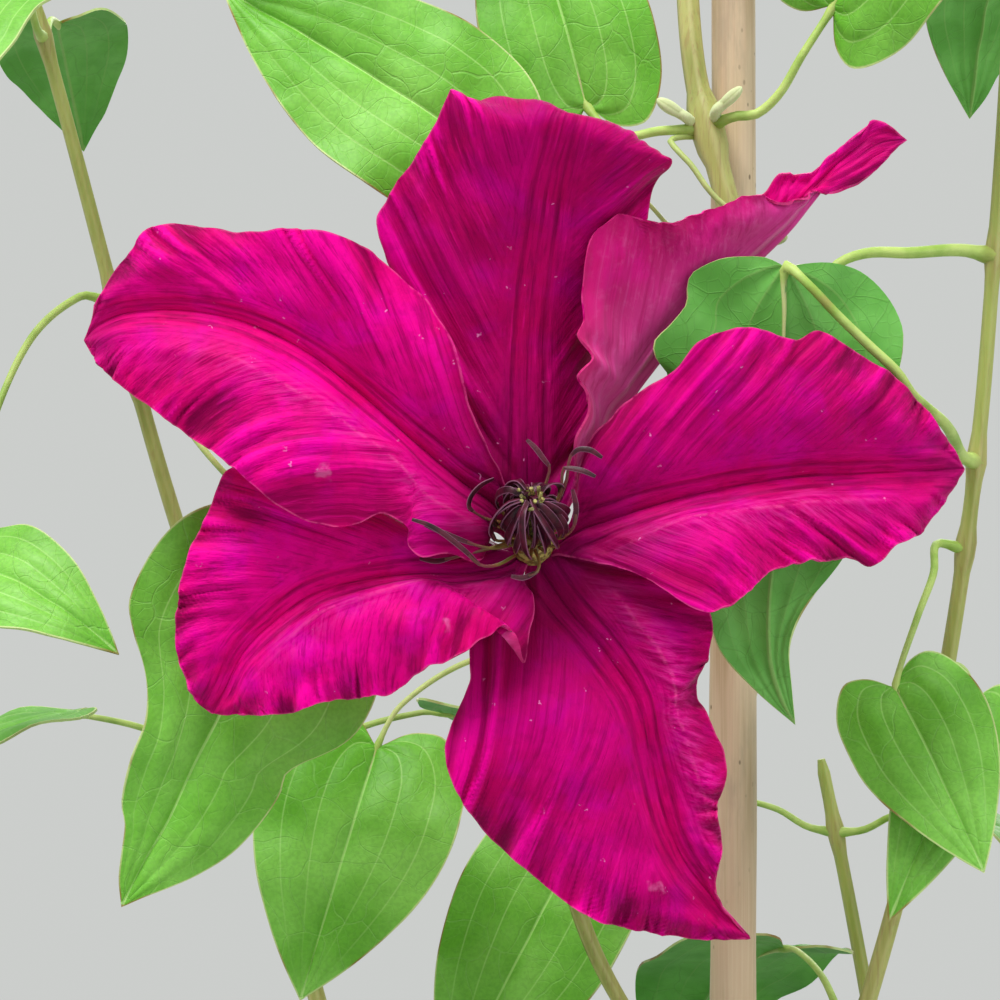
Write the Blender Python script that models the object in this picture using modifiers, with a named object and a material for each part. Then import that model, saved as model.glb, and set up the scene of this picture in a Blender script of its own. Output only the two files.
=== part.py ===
# Potted clematis: a plain clay pot of compost, one bamboo cane, and a vine that climbs it,
# with its leaves, one open bloom and two small buds. Lengths below are in millimetres and
# are multiplied by MM. +Z is up, -Y is the side that the bloom faces, and the origin is the
# centre of the pot's underside.

import math
import random

import bmesh
import bpy
from mathutils import Matrix, Vector, noise

MM = 0.001
SEAT_GAP = 0.3

# Pot
POT_HEIGHT = 168.0
POT_FOOT_RADIUS = 62.0
POT_TOP_RADIUS = 91.0
RIM_RADIUS = 98.0
RIM_HEIGHT = 34.0
POT_WALL = 8.0
POT_FLOOR = 10.0
POT_SIDES = 36
DRAIN_RADIUS = 6.0
DRAIN_RING_RADIUS = 34.0
DRAIN_COUNT = 4

# Compost
SOIL_LEVEL = 146.0
SOIL_RINGS = 6
SOIL_SIDES = 24
SOIL_MOUND = 3.0
SOIL_LUMP = 3.2

# Cane
CANE_FOOT_RADIUS = 4.6
CANE_TOP_RADIUS = 3.3
CANE_TOP = 668.0
CANE_FOOT = 34.0
CANE_SIDES = 12
CANE_JOINTS = (96.0, 205.0, 334.0, 474.0, 606.0)
CANE_JOINT_SWELL = 1.12

# Vine
STEM_FOOT = 86.0
STEM_OFF_CANE = 7.5
STEM_FOOT_OFF_CANE = 14.0
STEM_FOOT_RADIUS = 3.1
STEM_TOP_RADIUS = 1.6

# Leaf blades and tepals
BLADE_THICKNESS = 0.7
FINE_LEAF = (6, 4)
PLAIN_LEAF = (5, 2)
TEPAL_THICKNESS = 0.7
TEPAL_ROWS, TEPAL_COLUMNS = 11, 6

# The bloom's centre, and the way that its boss of stamens points
BLOOM = Vector((-33.0, -40.0, 470.0))
BOSS_FOOT = Vector((0.0, -3.2, 3.4))
BOSS_AXIS = Vector((-0.04, 0.5, 0.87)).normalized()
BOSS_HEIGHT = 11.5
BOSS_RADIUS = 6.3
CORE_RADIUS = 4.6
CORE_LENGTH = 7.0
ANTHER_RINGS = ((15, 3.4, 1.1), (9, 2.0, 0.9))


# The scene and its finishes

for old in list(bpy.data.objects):
    bpy.data.objects.remove(old)

clematis = bpy.data.collections.new("potted_clematis")
cutters = bpy.data.collections.new("cutters")
bpy.context.scene.collection.children.link(clematis)
bpy.context.scene.collection.children.link(cutters)


def finish(name, colour, roughness):
    """A plain coloured material."""
    made = bpy.data.materials.new(name)
    made.use_nodes = True
    shader = made.node_tree.nodes["Principled BSDF"]
    shader.inputs["Base Color"].default_value = (*colour, 1.0)
    shader.inputs["Roughness"].default_value = roughness
    shader.inputs["Metallic"].default_value = 0.0
    return made


CLAY = finish("clay", (0.52, 0.21, 0.11), 0.85)
COMPOST = finish("compost", (0.045, 0.028, 0.018), 0.95)
BAMBOO = finish("bamboo", (0.55, 0.43, 0.26), 0.5)
STEM_GREEN = finish("vine_stem", (0.24, 0.27, 0.09), 0.6)
LEAF_GREEN = finish("leaf", (0.10, 0.33, 0.04), 0.5)
TEPAL_RED = finish("tepal", (0.52, 0.005, 0.16), 0.55)
STAMEN_PURPLE = finish("stamen", (0.09, 0.012, 0.045), 0.5)
BUD_GREEN = finish("bud", (0.62, 0.70, 0.40), 0.55)


def add(name, mesh, material):
    """A named object in the part's collection."""
    mesh.materials.clear()
    mesh.materials.append(material)
    mesh.shade_smooth()
    mesh.set_sharp_from_angle(angle=math.radians(40))
    made = bpy.data.objects.new(name, mesh)
    clematis.objects.link(made)
    return made


def bake(made, weld=0.02):
    """Replaces an object by its finished mesh, its points that lie together made one."""
    bpy.context.view_layer.update()
    graph = bpy.context.evaluated_depsgraph_get()
    mesh = bpy.data.meshes.new_from_object(made.evaluated_get(graph))
    bpy.data.objects.remove(made)
    shape = bmesh.new()
    shape.from_mesh(mesh)
    bmesh.ops.remove_doubles(shape, verts=shape.verts, dist=weld * MM)
    shape.to_mesh(mesh)
    shape.free()
    return mesh


def placed(name, data):
    """An object that stands in the scene while it is being worked on."""
    made = bpy.data.objects.new(name, data)
    bpy.context.scene.collection.objects.link(made)
    return made


def turned(name, profile, sides):
    """A mesh turned round Z from (radius, height) pairs, its outer side from top to bottom."""
    mesh = bpy.data.meshes.new(name)
    shape = bmesh.new()
    ring = [shape.verts.new((radius * MM, 0, height * MM)) for radius, height in profile]
    for first, second in zip(ring, ring[1:]):
        shape.edges.new((first, second))
    shape.to_mesh(mesh)
    shape.free()
    made = placed(name, mesh)
    screw = made.modifiers.new("turn", "SCREW")
    screw.steps = screw.render_steps = sides
    screw.use_merge_vertices = True
    screw.merge_threshold = 0.05 * MM
    return bake(made)


def rod(points, radii, resolution=0):
    """A capped tube through points, with a radius for each."""
    curve = bpy.data.curves.new("rod", "CURVE")
    curve.dimensions = "3D"
    curve.bevel_depth = MM
    curve.bevel_resolution = resolution
    curve.use_fill_caps = True
    spline = curve.splines.new("POLY")
    spline.points.add(len(points) - 1)
    for knot, place, radius in zip(spline.points, points, radii):
        knot.co = (*(Vector(place) * MM), 1)
        knot.radius = radius
    return bake(placed("rod", curve))


def drop_scraps(mesh):
    """Keeps the largest of the bodies that a mesh holds."""
    shape = bmesh.new()
    shape.from_mesh(mesh)
    waiting = set(shape.faces)
    bodies = []
    while waiting:
        body = [waiting.pop()]
        for face in body:
            for edge in face.edges:
                for other in edge.link_faces:
                    if other in waiting:
                        waiting.remove(other)
                        body.append(other)
        bodies.append(body)
    bodies.sort(key=lambda body: sum(face.calc_area() for face in body))
    for body in bodies[:-1]:
        bmesh.ops.delete(shape, geom=body, context="FACES")
    shape.to_mesh(mesh)
    shape.free()


def fuse(name, meshes, material):
    """One object whose mesh is the union of several closed meshes."""
    parts = bpy.data.collections.new(name + "_parts")
    bpy.context.scene.collection.children.link(parts)
    for mesh in meshes[1:]:
        parts.objects.link(bpy.data.objects.new(name + "_piece", mesh))
    made = placed(name, meshes[0])
    union = made.modifiers.new("join", "BOOLEAN")
    union.operation = "UNION"
    union.operand_type = "COLLECTION"
    union.collection = parts
    union.solver = "EXACT"
    joined = bake(made, 0.0002)
    for piece in list(parts.objects):
        bpy.data.objects.remove(piece)
    bpy.data.collections.remove(parts)
    drop_scraps(joined)
    return add(name, joined, material)


class Line:
    """A smooth curve through points, run along evenly by its length."""

    def __init__(self, points):
        self.points = [Vector(point) for point in points]
        self.marks = [0.0]
        for first, second in zip(self.points, self.points[1:]):
            self.marks.append(self.marks[-1] + (second - first).length)
        self.length = self.marks[-1]
        last = len(self.points) - 1
        self.slopes = []
        for index in range(last + 1):
            low, high = max(index - 1, 0), min(index + 1, last)
            run = self.marks[high] - self.marks[low]
            self.slopes.append((self.points[high] - self.points[low]) / run)

    def at(self, share):
        place = min(max(share, 0.0), 1.0) * self.length
        index = 0
        while index < len(self.marks) - 2 and self.marks[index + 1] < place:
            index += 1
        run = self.marks[index + 1] - self.marks[index]
        step = (place - self.marks[index]) / run
        ease = step * step * (3 - 2 * step)
        leave = step * (1 - step) ** 2 * run
        arrive = step * step * (step - 1) * run
        between = self.points[index].lerp(self.points[index + 1], ease)
        return between + self.slopes[index] * leave + self.slopes[index + 1] * arrive

    def sampled(self, count):
        return [self.at(index / (count - 1)) for index in range(count)]


def tapered(start, end, count):
    """Radii that run evenly from start to end."""
    return [start + (end - start) * index / (count - 1) for index in range(count)]


# Pot

def inner_radius(height):
    """The pot's inner radius at a height."""
    foot, top = POT_FOOT_RADIUS - POT_WALL, RIM_RADIUS - POT_WALL - 3
    return foot + (top - foot) * (height - POT_FLOOR) / (POT_HEIGHT - 1.5 - POT_FLOOR)


def cut(made, place, radius, low, high, sides):
    """Cuts a round upright hole."""
    mesh = bpy.data.meshes.new("hole")
    shape = bmesh.new()
    bmesh.ops.create_cone(
        shape,
        cap_ends=True,
        segments=sides,
        radius1=radius * MM,
        radius2=radius * MM,
        depth=(high - low) * MM,
        matrix=Matrix.Translation(Vector((place[0], place[1], (low + high) / 2)) * MM),
    )
    shape.to_mesh(mesh)
    shape.free()
    cutter = bpy.data.objects.new("hole", mesh)
    cutter.hide_render = True
    cutter.display_type = "WIRE"
    cutters.objects.link(cutter)
    boolean = made.modifiers.new("hole", "BOOLEAN")
    boolean.operation = "DIFFERENCE"
    boolean.object = cutter
    boolean.solver = "EXACT"


def pot():
    rim_foot = POT_HEIGHT - RIM_HEIGHT
    rim_inner = RIM_RADIUS - POT_WALL - 3
    outer = [
        (rim_inner, POT_HEIGHT - 1.5),
        (rim_inner + 3, POT_HEIGHT),
        (RIM_RADIUS - 3, POT_HEIGHT),
        (RIM_RADIUS, POT_HEIGHT - 3),
        (RIM_RADIUS - 1, rim_foot + 3),
        (RIM_RADIUS - 3.5, rim_foot),
        (POT_TOP_RADIUS - 3, rim_foot - 2),
        (POT_FOOT_RADIUS + 1, 4),
        (POT_FOOT_RADIUS - 2, 0),
        (0, 0),
    ]
    inner = [(0, POT_FLOOR), (POT_FOOT_RADIUS - POT_WALL, POT_FLOOR), outer[0]]
    made = add("pot", turned("pot", outer + inner, POT_SIDES), CLAY)
    for index in range(DRAIN_COUNT):
        angle = 2 * math.pi * (index + 0.5) / DRAIN_COUNT
        place = Vector((math.cos(angle), math.sin(angle), 0)) * DRAIN_RING_RADIUS
        cut(made, place, DRAIN_RADIUS, -5, POT_FLOOR + 5, 10)


def cane():
    profile = [(0, CANE_TOP), (CANE_TOP_RADIUS, CANE_TOP)]
    for joint in reversed(CANE_JOINTS):
        for rise, swell in ((2.0, 1.0), (0.0, CANE_JOINT_SWELL), (-2.0, 1.0)):
            share = (joint + rise - CANE_FOOT) / (CANE_TOP - CANE_FOOT)
            radius = CANE_FOOT_RADIUS + (CANE_TOP_RADIUS - CANE_FOOT_RADIUS) * share
            profile.append((radius * swell, joint + rise))
    profile += [(CANE_FOOT_RADIUS, CANE_FOOT), (0, CANE_FOOT)]
    add("cane", turned("cane", profile, CANE_SIDES), BAMBOO)


# Vine stems. The main one leans round the cane, and the others are free.

class Stem:
    """A tapering stem made of short straight lengths, each higher than the one before."""

    def __init__(self, rings, foot_radius, top_radius):
        self.rings = rings
        self.radii = tapered(foot_radius, top_radius, len(rings))

    def at(self, height):
        """The stem's centre and radius at a height."""
        index = 0
        while index < len(self.rings) - 2 and self.rings[index + 1].z < height:
            index += 1
        low, high = self.rings[index], self.rings[index + 1]
        share = (height - low.z) / (high.z - low.z)
        radius = self.radii[index] + (self.radii[index + 1] - self.radii[index]) * share
        return low.lerp(high, share), radius

    def make(self, name):
        add(name, rod(self.rings, self.radii, 1), STEM_GREEN)


# Where the main stem stands round the cane, in degrees from +X, at each height.
ROUND_CANE = (
    (STEM_FOOT, 120), (150, 118), (190, 140), (240, 160), (290, 128), (345, 98), (404, 92),
    (436, 80), (462, 25), (482, -25), (502, -66), (523.5, -110), (538, -144), (562, -190),
    (590, -222), (620, -246), (654, -262),
)


def round_cane(height, degrees):
    off = STEM_OFF_CANE + (STEM_FOOT_OFF_CANE - STEM_OFF_CANE) * max(0, (230 - height) / 80)
    off = min(off, STEM_FOOT_OFF_CANE)
    angle = math.radians(degrees)
    return Vector((off * math.cos(angle), off * math.sin(angle), height))


def wound(turns, step=12):
    """Points close enough together that the stem keeps off the cane between them."""
    points = []
    for (low, start), (high, end) in zip(turns, turns[1:]):
        count = max(1, round((high - low) / step))
        for index in range(count):
            share = index / count
            points.append(round_cane(low + (high - low) * share, start + (end - start) * share))
    return points + [round_cane(*turns[-1])]


MAIN = Stem(wound(ROUND_CANE), STEM_FOOT_RADIUS, STEM_TOP_RADIUS)
LEFT = Stem(Line((
    (-22, 10, STEM_FOOT), (-24, 12, 200), (-38, 20, 270), (-58, 27, 345), (-78, 27, 420),
    (-96, 22, 480), (-108, 14, 528), (-116, 6, 560),
)).sampled(18), 2.3, 1.1)
RIGHT = Stem(Line((
    (8.9, 7.4, 350), (17, 6, 372), (30, 2, 420), (38, -3, 470), (42, -6, 520), (45, -4, 566),
)).sampled(12), 1.5, 1.0)
BACK = Stem(Line((
    (20, 17, STEM_FOOT), (22, 20, 190), (30, 34, 245), (36, 50, 310), (30, 60, 372),
    (20, 60, 425),
)).sampled(14), 2.2, 1.1)


# Compost, with a plain hole for the cane and for each stem

def compost():
    top_radius = inner_radius(SOIL_LEVEL) - 1.2
    foot_radius = inner_radius(POT_FLOOR + SEAT_GAP) - 1.2
    shape = bmesh.new()
    bmesh.ops.create_cone(
        shape,
        cap_ends=True,
        segments=SOIL_SIDES,
        radius1=foot_radius * MM,
        radius2=top_radius * MM,
        depth=(SOIL_LEVEL - POT_FLOOR - SEAT_GAP) * MM,
        matrix=Matrix.Translation((0, 0, (SOIL_LEVEL + POT_FLOOR + SEAT_GAP) / 2 * MM)),
    )
    top = max(shape.faces, key=lambda face: face.calc_center_median().z)
    for _ in range(SOIL_RINGS - 1):
        bmesh.ops.inset_region(shape, faces=[top], thickness=top_radius / SOIL_RINGS * MM)
    bmesh.ops.poke(shape, faces=[top])
    for vert in shape.verts:
        reach = math.hypot(vert.co.x, vert.co.y) / (top_radius * MM)
        if vert.co.z > (SOIL_LEVEL - 1) * MM and reach < 0.97:
            lump = noise.noise(vert.co * 55)
            vert.co.z += (SOIL_MOUND * (1 - reach**2) + SOIL_LUMP * lump) * MM
    bmesh.ops.triangulate(shape, faces=shape.faces)
    mesh = bpy.data.meshes.new("compost")
    shape.to_mesh(mesh)
    shape.free()
    made = add("compost", mesh, COMPOST)
    cut(made, (0, 0), CANE_FOOT_RADIUS + 0.5, CANE_FOOT - 1, SOIL_LEVEL + 20, 12)
    for stem in (MAIN, LEFT, BACK):
        place = stem.rings[0].lerp(stem.at(SOIL_LEVEL)[0], 0.5)
        cut(made, place, stem.radii[0] + 2.0, STEM_FOOT - 1, SOIL_LEVEL + 20, 10)


# Sheets: leaf blades and tepals

def sheet(surface, rows, columns, thickness):
    """A thin closed blade from surface(share along, -1 to 1 across)."""
    shape = bmesh.new()
    bmesh.ops.create_grid(shape, x_segments=rows, y_segments=columns, size=1.0)
    for vert in shape.verts:
        vert.co = surface((vert.co.x + 1) / 2, -vert.co.y) * MM
    bmesh.ops.remove_doubles(shape, verts=shape.verts, dist=0.1 * MM)
    bmesh.ops.triangulate(shape, faces=shape.faces)
    mesh = bpy.data.meshes.new("sheet")
    shape.to_mesh(mesh)
    shape.free()
    made = placed("sheet", mesh)
    solidify = made.modifiers.new("thickness", "SOLIDIFY")
    solidify.thickness = thickness * MM
    solidify.offset = 0.0
    return bake(made)


# The edge of a leaf blade of length 1, from its foot round one lobe to its tip.
LEAF_EDGE = Line((
    (0, 0, 0), (0.09, -0.10, 0), (0.19, -0.11, 0), (0.275, 0.02, 0), (0.3, 0.2, 0),
    (0.29, 0.38, 0), (0.235, 0.58, 0), (0.14, 0.78, 0), (0.055, 0.92, 0), (0, 1, 0),
))


class Blade:
    """A leaf blade from its foot to its tip, its upper face turned a given way."""

    def __init__(
        self, foot, tip, facing, width, sag=0.08, bend=0.0, fold=0.22, seed=0, lobes=1.0
    ):
        self.foot, self.tip = Vector(foot), Vector(tip)
        self.length = (self.tip - self.foot).length
        self.width = width
        self.fold = fold
        self.lobes = lobes
        self.phase = random.Random(seed).uniform(0, 2 * math.pi)
        forward = (self.tip - self.foot).normalized()
        self.up = (Vector(facing) - forward * forward.dot(Vector(facing))).normalized()
        self.side = forward.cross(self.up)
        self.arch = (self.up * sag + self.side * bend) * self.length

    def rib(self, share):
        return self.foot.lerp(self.tip, share) + self.arch * 4 * share * (1 - share)

    def point(self, share, across):
        reach = abs(across)
        edge = LEAF_EDGE.at(share)
        along = share**1.6
        half = self.width / 2 * edge.x / 0.3
        ahead = (self.rib(along + 0.02) - self.rib(along - 0.02)).normalized()
        side = (self.side - ahead * ahead.dot(self.side)).normalized()
        up = side.cross(ahead)
        behind = edge.y * self.lobes if edge.y < 0 else edge.y
        slip = (behind - along) * self.length * reach**1.4
        lift = self.fold * half * reach - 0.16 * half * reach**2
        wave = 0.075 * half * reach**2 * math.sin(9 * share + self.phase + 1.6 * across)
        return self.rib(along) + side * half * across + ahead * slip + up * (lift + wave)

    def vein(self, along):
        """A point on the underside of the blade, close to its rib."""
        return self.rib(along) - self.up * 0.25 + self.side * 0.07

    def mesh(self, fine):
        rows, columns = FINE_LEAF if fine else PLAIN_LEAF
        return sheet(self.point, rows, columns, BLADE_THICKNESS)


def leaf(name, petiole, blades, fine=True):
    """A leaf: a thin stalk that runs on under its first blade, and a short one to any other."""
    main = blades[0]
    stalk = Line([*petiole[1:], main.vein(0.0), main.vein(0.10), main.vein(0.24)])
    points = [petiole[0], *stalk.sampled(max(5, round(stalk.length / (9 if fine else 12))))]
    pieces = [rod(points, tapered(1.0, 0.6, len(points)))]
    for blade in blades:
        pieces.append(blade.mesh(fine))
    for blade in blades[1:]:
        branch = [main.vein(0.02), blade.vein(0.0), blade.vein(0.14)]
        pieces.append(rod(branch, (0.8, 0.7, 0.5)))
    fuse(name, pieces, LEAF_GREEN)


# Leaves round the bloom, each with the way from its stem, its blades and where they hang

def level(degrees):
    return Vector((math.cos(math.radians(degrees)), math.sin(math.radians(degrees)), 0))


def rim_of(stem, height, degrees):
    """A point just off a stem's side, with a second one straight out from it."""
    centre, radius = stem.at(height)
    run = (stem.at(height + 2)[0] - stem.at(height - 2)[0]).normalized()
    lean = run.dot(level(degrees))
    off = (radius + 1.5 * SEAT_GAP + abs(lean)) / math.sqrt(1 - lean**2)
    start = centre + level(degrees) * off
    return [start, start + level(degrees) * 4 + Vector((0, 0, 0.6))]


def leaves_round_bloom():
    leaf(
        "leaf_lower_left",
        [*rim_of(LEFT, 492, -80), (-91, -10, 489), (-84.9, -23, 481), (-79, -25.5, 474.5)],
        [Blade((-70.1, -26, 468.6), (-95.9, -32, 409.4), (0.1, -1, 0.35), 38, 0.04, -0.06)],
    )
    leaf(
        "leaf_behind_right",
        [*rim_of(RIGHT, 478, -120), (31, -19, 483), (21.5, -36, 490.9), (12, -44, 499.4)],
        [
            Blade(
                (4.95, -41.2, 507.3), (6.4, -36, 438), (0, -1, 0.1), 37, -0.02, 0.02, 0.12,
                lobes=0.1,
            )
        ],
    )
    leaf(
        "leaf_lower_right",
        [*rim_of(RIGHT, 464, -150), (31, -11, 460), (28, -14, 453)],
        [
            Blade((24.5, -15, 442), (37, -25, 414), (-0.1, -1, 0.35), 23, 0.08),
            Blade((38, -9, 440), (22.5, -22, 404), (0.1, -1, 0.4), 17, 0.06, seed=2),
        ],
    )
    leaf(
        "leaf_behind_right_low",
        [*rim_of(RIGHT, 511, -165), (27, -12, 510.8), (20, -14, 510.6), (15, -15, 508.5)],
        [Blade((11.5, -16, 503), (10, -22, 461), (0.1, -1, 0.2), 24, 0.06)],
    )
    leaf(
        "leaf_far_left",
        [*rim_of(LEFT, 505, -150), (-115, 4, 497), (-121, -6, 478)],
        [Blade((-123, -13, 461), (-96.8, -24, 447.7), (-0.1, -0.8, 0.7), 19, 0.16)],
    )
    leaf(
        "leaf_above",
        [*rim_of(MAIN, 531, -175), (-12.4, -8.5, 530.3), (-18.7, -9, 529.6)],
        [Blade((-24, -5, 535), (-36, 6, 577), (0, -1, 0.25), 28, 0.1)],
    )
    leaf(
        "leaf_clasping",
        [
            *rim_of(MAIN, 529, -125), (-9.5, -13, 524.5), (-3.6, -14, 518.6), (1.5, -12.6, 516.5),
            (6.4, -7.5, 515), (8.3, 0, 514), (5.8, 6.8, 513.5), (-1, 9.4, 514), (-8, 6.5, 515),
            (-11, -1, 516.5), (-15.5, -8, 520), (-25, -12, 524),
        ],
        [Blade((-41, -17, 527), (-82, -9, 553), (-0.2, -0.9, 0.3), 31, 0.06)],
    )
    leaf(
        "leaf_above_right",
        [*rim_of(MAIN, 533, -50), (3, -10, 533.5), (10, -12, 542)],
        [Blade((15, -12, 550), (46, -22, 584), (0.2, -0.8, 0.6), 30, 0.12)],
    )
    leaf(
        "leaf_below",
        [*rim_of(MAIN, 455, 120), (-18, 14, 452), (-43, 10, 445), (-54, 7, 438)],
        [Blade((-58, 6, 431), (-70, -3, 391), (0.1, -1, 0.4), 33, 0.08)],
    )
    leaf(
        "leaf_below_middle",
        [*rim_of(MAIN, 404, 140), (-12, 14, 408), (-19, 18, 414)],
        [Blade((-25, 20, 413), (-47, 15, 371), (-0.1, -1, 0.3), 30, 0.04)],
    )


# Leaves by rule. Each row gives the leaf's name, its stem, the height where it leaves it, its
# direction, the stalk's length, the blade's length, and how far each blade is turned.

ONE = (0,)
LEFT_TWO = (0, 68)
RIGHT_TWO = (0, -68)
THREE = (0, 68, -68)
LEAVES = (
    ("main_1", MAIN, 218, 190, 40, 58, THREE),
    ("main_2", MAIN, 218, 10, 40, 60, ONE),
    ("main_3", MAIN, 270, 260, 38, 60, THREE),
    ("main_4", MAIN, 270, 80, 38, 58, ONE),
    ("main_5", MAIN, 322, 200, 34, 60, LEFT_TWO),
    ("main_6", MAIN, 322, 5, 34, 58, RIGHT_TWO),
    ("main_7", MAIN, 366, 205, 30, 58, LEFT_TWO),
    ("main_8", MAIN, 362, 25, 32, 60, RIGHT_TWO),
    ("main_9", MAIN, 588, 22, 30, 54, ONE),
    ("main_10", MAIN, 588, 196, 30, 52, ONE),
    ("main_11", MAIN, 640, 170, 16, 32, ONE),
    ("main_12", MAIN, 640, 350, 16, 34, ONE),
    ("left_1", LEFT, 244, 240, 34, 58, THREE),
    ("left_2", LEFT, 244, 80, 34, 56, ONE),
    ("left_3", LEFT, 302, 130, 32, 60, LEFT_TWO),
    ("left_4", LEFT, 302, 298, 28, 54, ONE),
    ("left_5", LEFT, 362, 200, 30, 60, RIGHT_TWO),
    ("left_6", LEFT, 362, 20, 30, 50, ONE),
    ("left_7", LEFT, 425, 190, 26, 50, ONE),
    ("left_8", LEFT, 425, 10, 26, 48, ONE),
    ("left_9", LEFT, 548, 90, 18, 36, ONE),
    ("left_10", LEFT, 548, 270, 18, 34, ONE),
    ("right_1", RIGHT, 385, 110, 24, 48, ONE),
    ("right_2", RIGHT, 385, 290, 26, 50, ONE),
    ("right_3", RIGHT, 556, 90, 16, 34, ONE),
    ("right_4", RIGHT, 556, 270, 16, 32, ONE),
    ("back_1", BACK, 248, 310, 34, 58, LEFT_TWO),
    ("back_2", BACK, 248, 108, 32, 56, ONE),
    ("back_3", BACK, 304, 0, 32, 58, LEFT_TWO),
    ("back_4", BACK, 304, 180, 30, 54, ONE),
    ("back_5", BACK, 358, 80, 28, 54, THREE),
    ("back_6", BACK, 412, 330, 18, 40, ONE),
    ("back_7", BACK, 412, 150, 18, 38, ONE),
)


def leaf_by_rule(name, stem, height, degrees, stalk, size, turns):
    chance = random.Random(name)
    degrees += chance.uniform(-6, 6)
    rise = chance.uniform(0.15, 0.4)
    foot = rim_of(stem, height, degrees)
    middle = foot[0] + level(degrees) * stalk * 0.55 + Vector((0, 0, stalk * rise * 0.7))
    end = foot[0] + level(degrees) * stalk + Vector((0, 0, stalk * rise))
    blades = []
    for turn in turns:
        way = level(degrees + turn + chance.uniform(-8, 8))
        droop = math.radians(chance.uniform(28, 52))
        length = size * (0.8 if turn else 1.0) * chance.uniform(0.92, 1.08)
        start = end + way * 4.5
        tip = start + (way * math.cos(droop) - Vector((0, 0, math.sin(droop)))) * length
        facing = Vector((0, 0, math.cos(droop))) + way * math.sin(droop)
        facing += way.cross(Vector((0, 0, 1))) * chance.uniform(-0.25, 0.25)
        bend = chance.uniform(-0.06, 0.06)
        seed = chance.randrange(1000)
        blades.append(Blade(start, tip, facing, length * 0.62, 0.1, bend, 0.2, seed))
    leaf("leaf_" + name, [*foot, middle, end], blades, False)


def leaves_by_rule():
    for row in LEAVES:
        leaf_by_rule(*row)


# The bloom. Its places are given as seen from the front, from its centre: to the right, up,
# and towards the viewer. Each tepal has its rib, then its left and its right margin as they
# run outwards from the middle.

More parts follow.
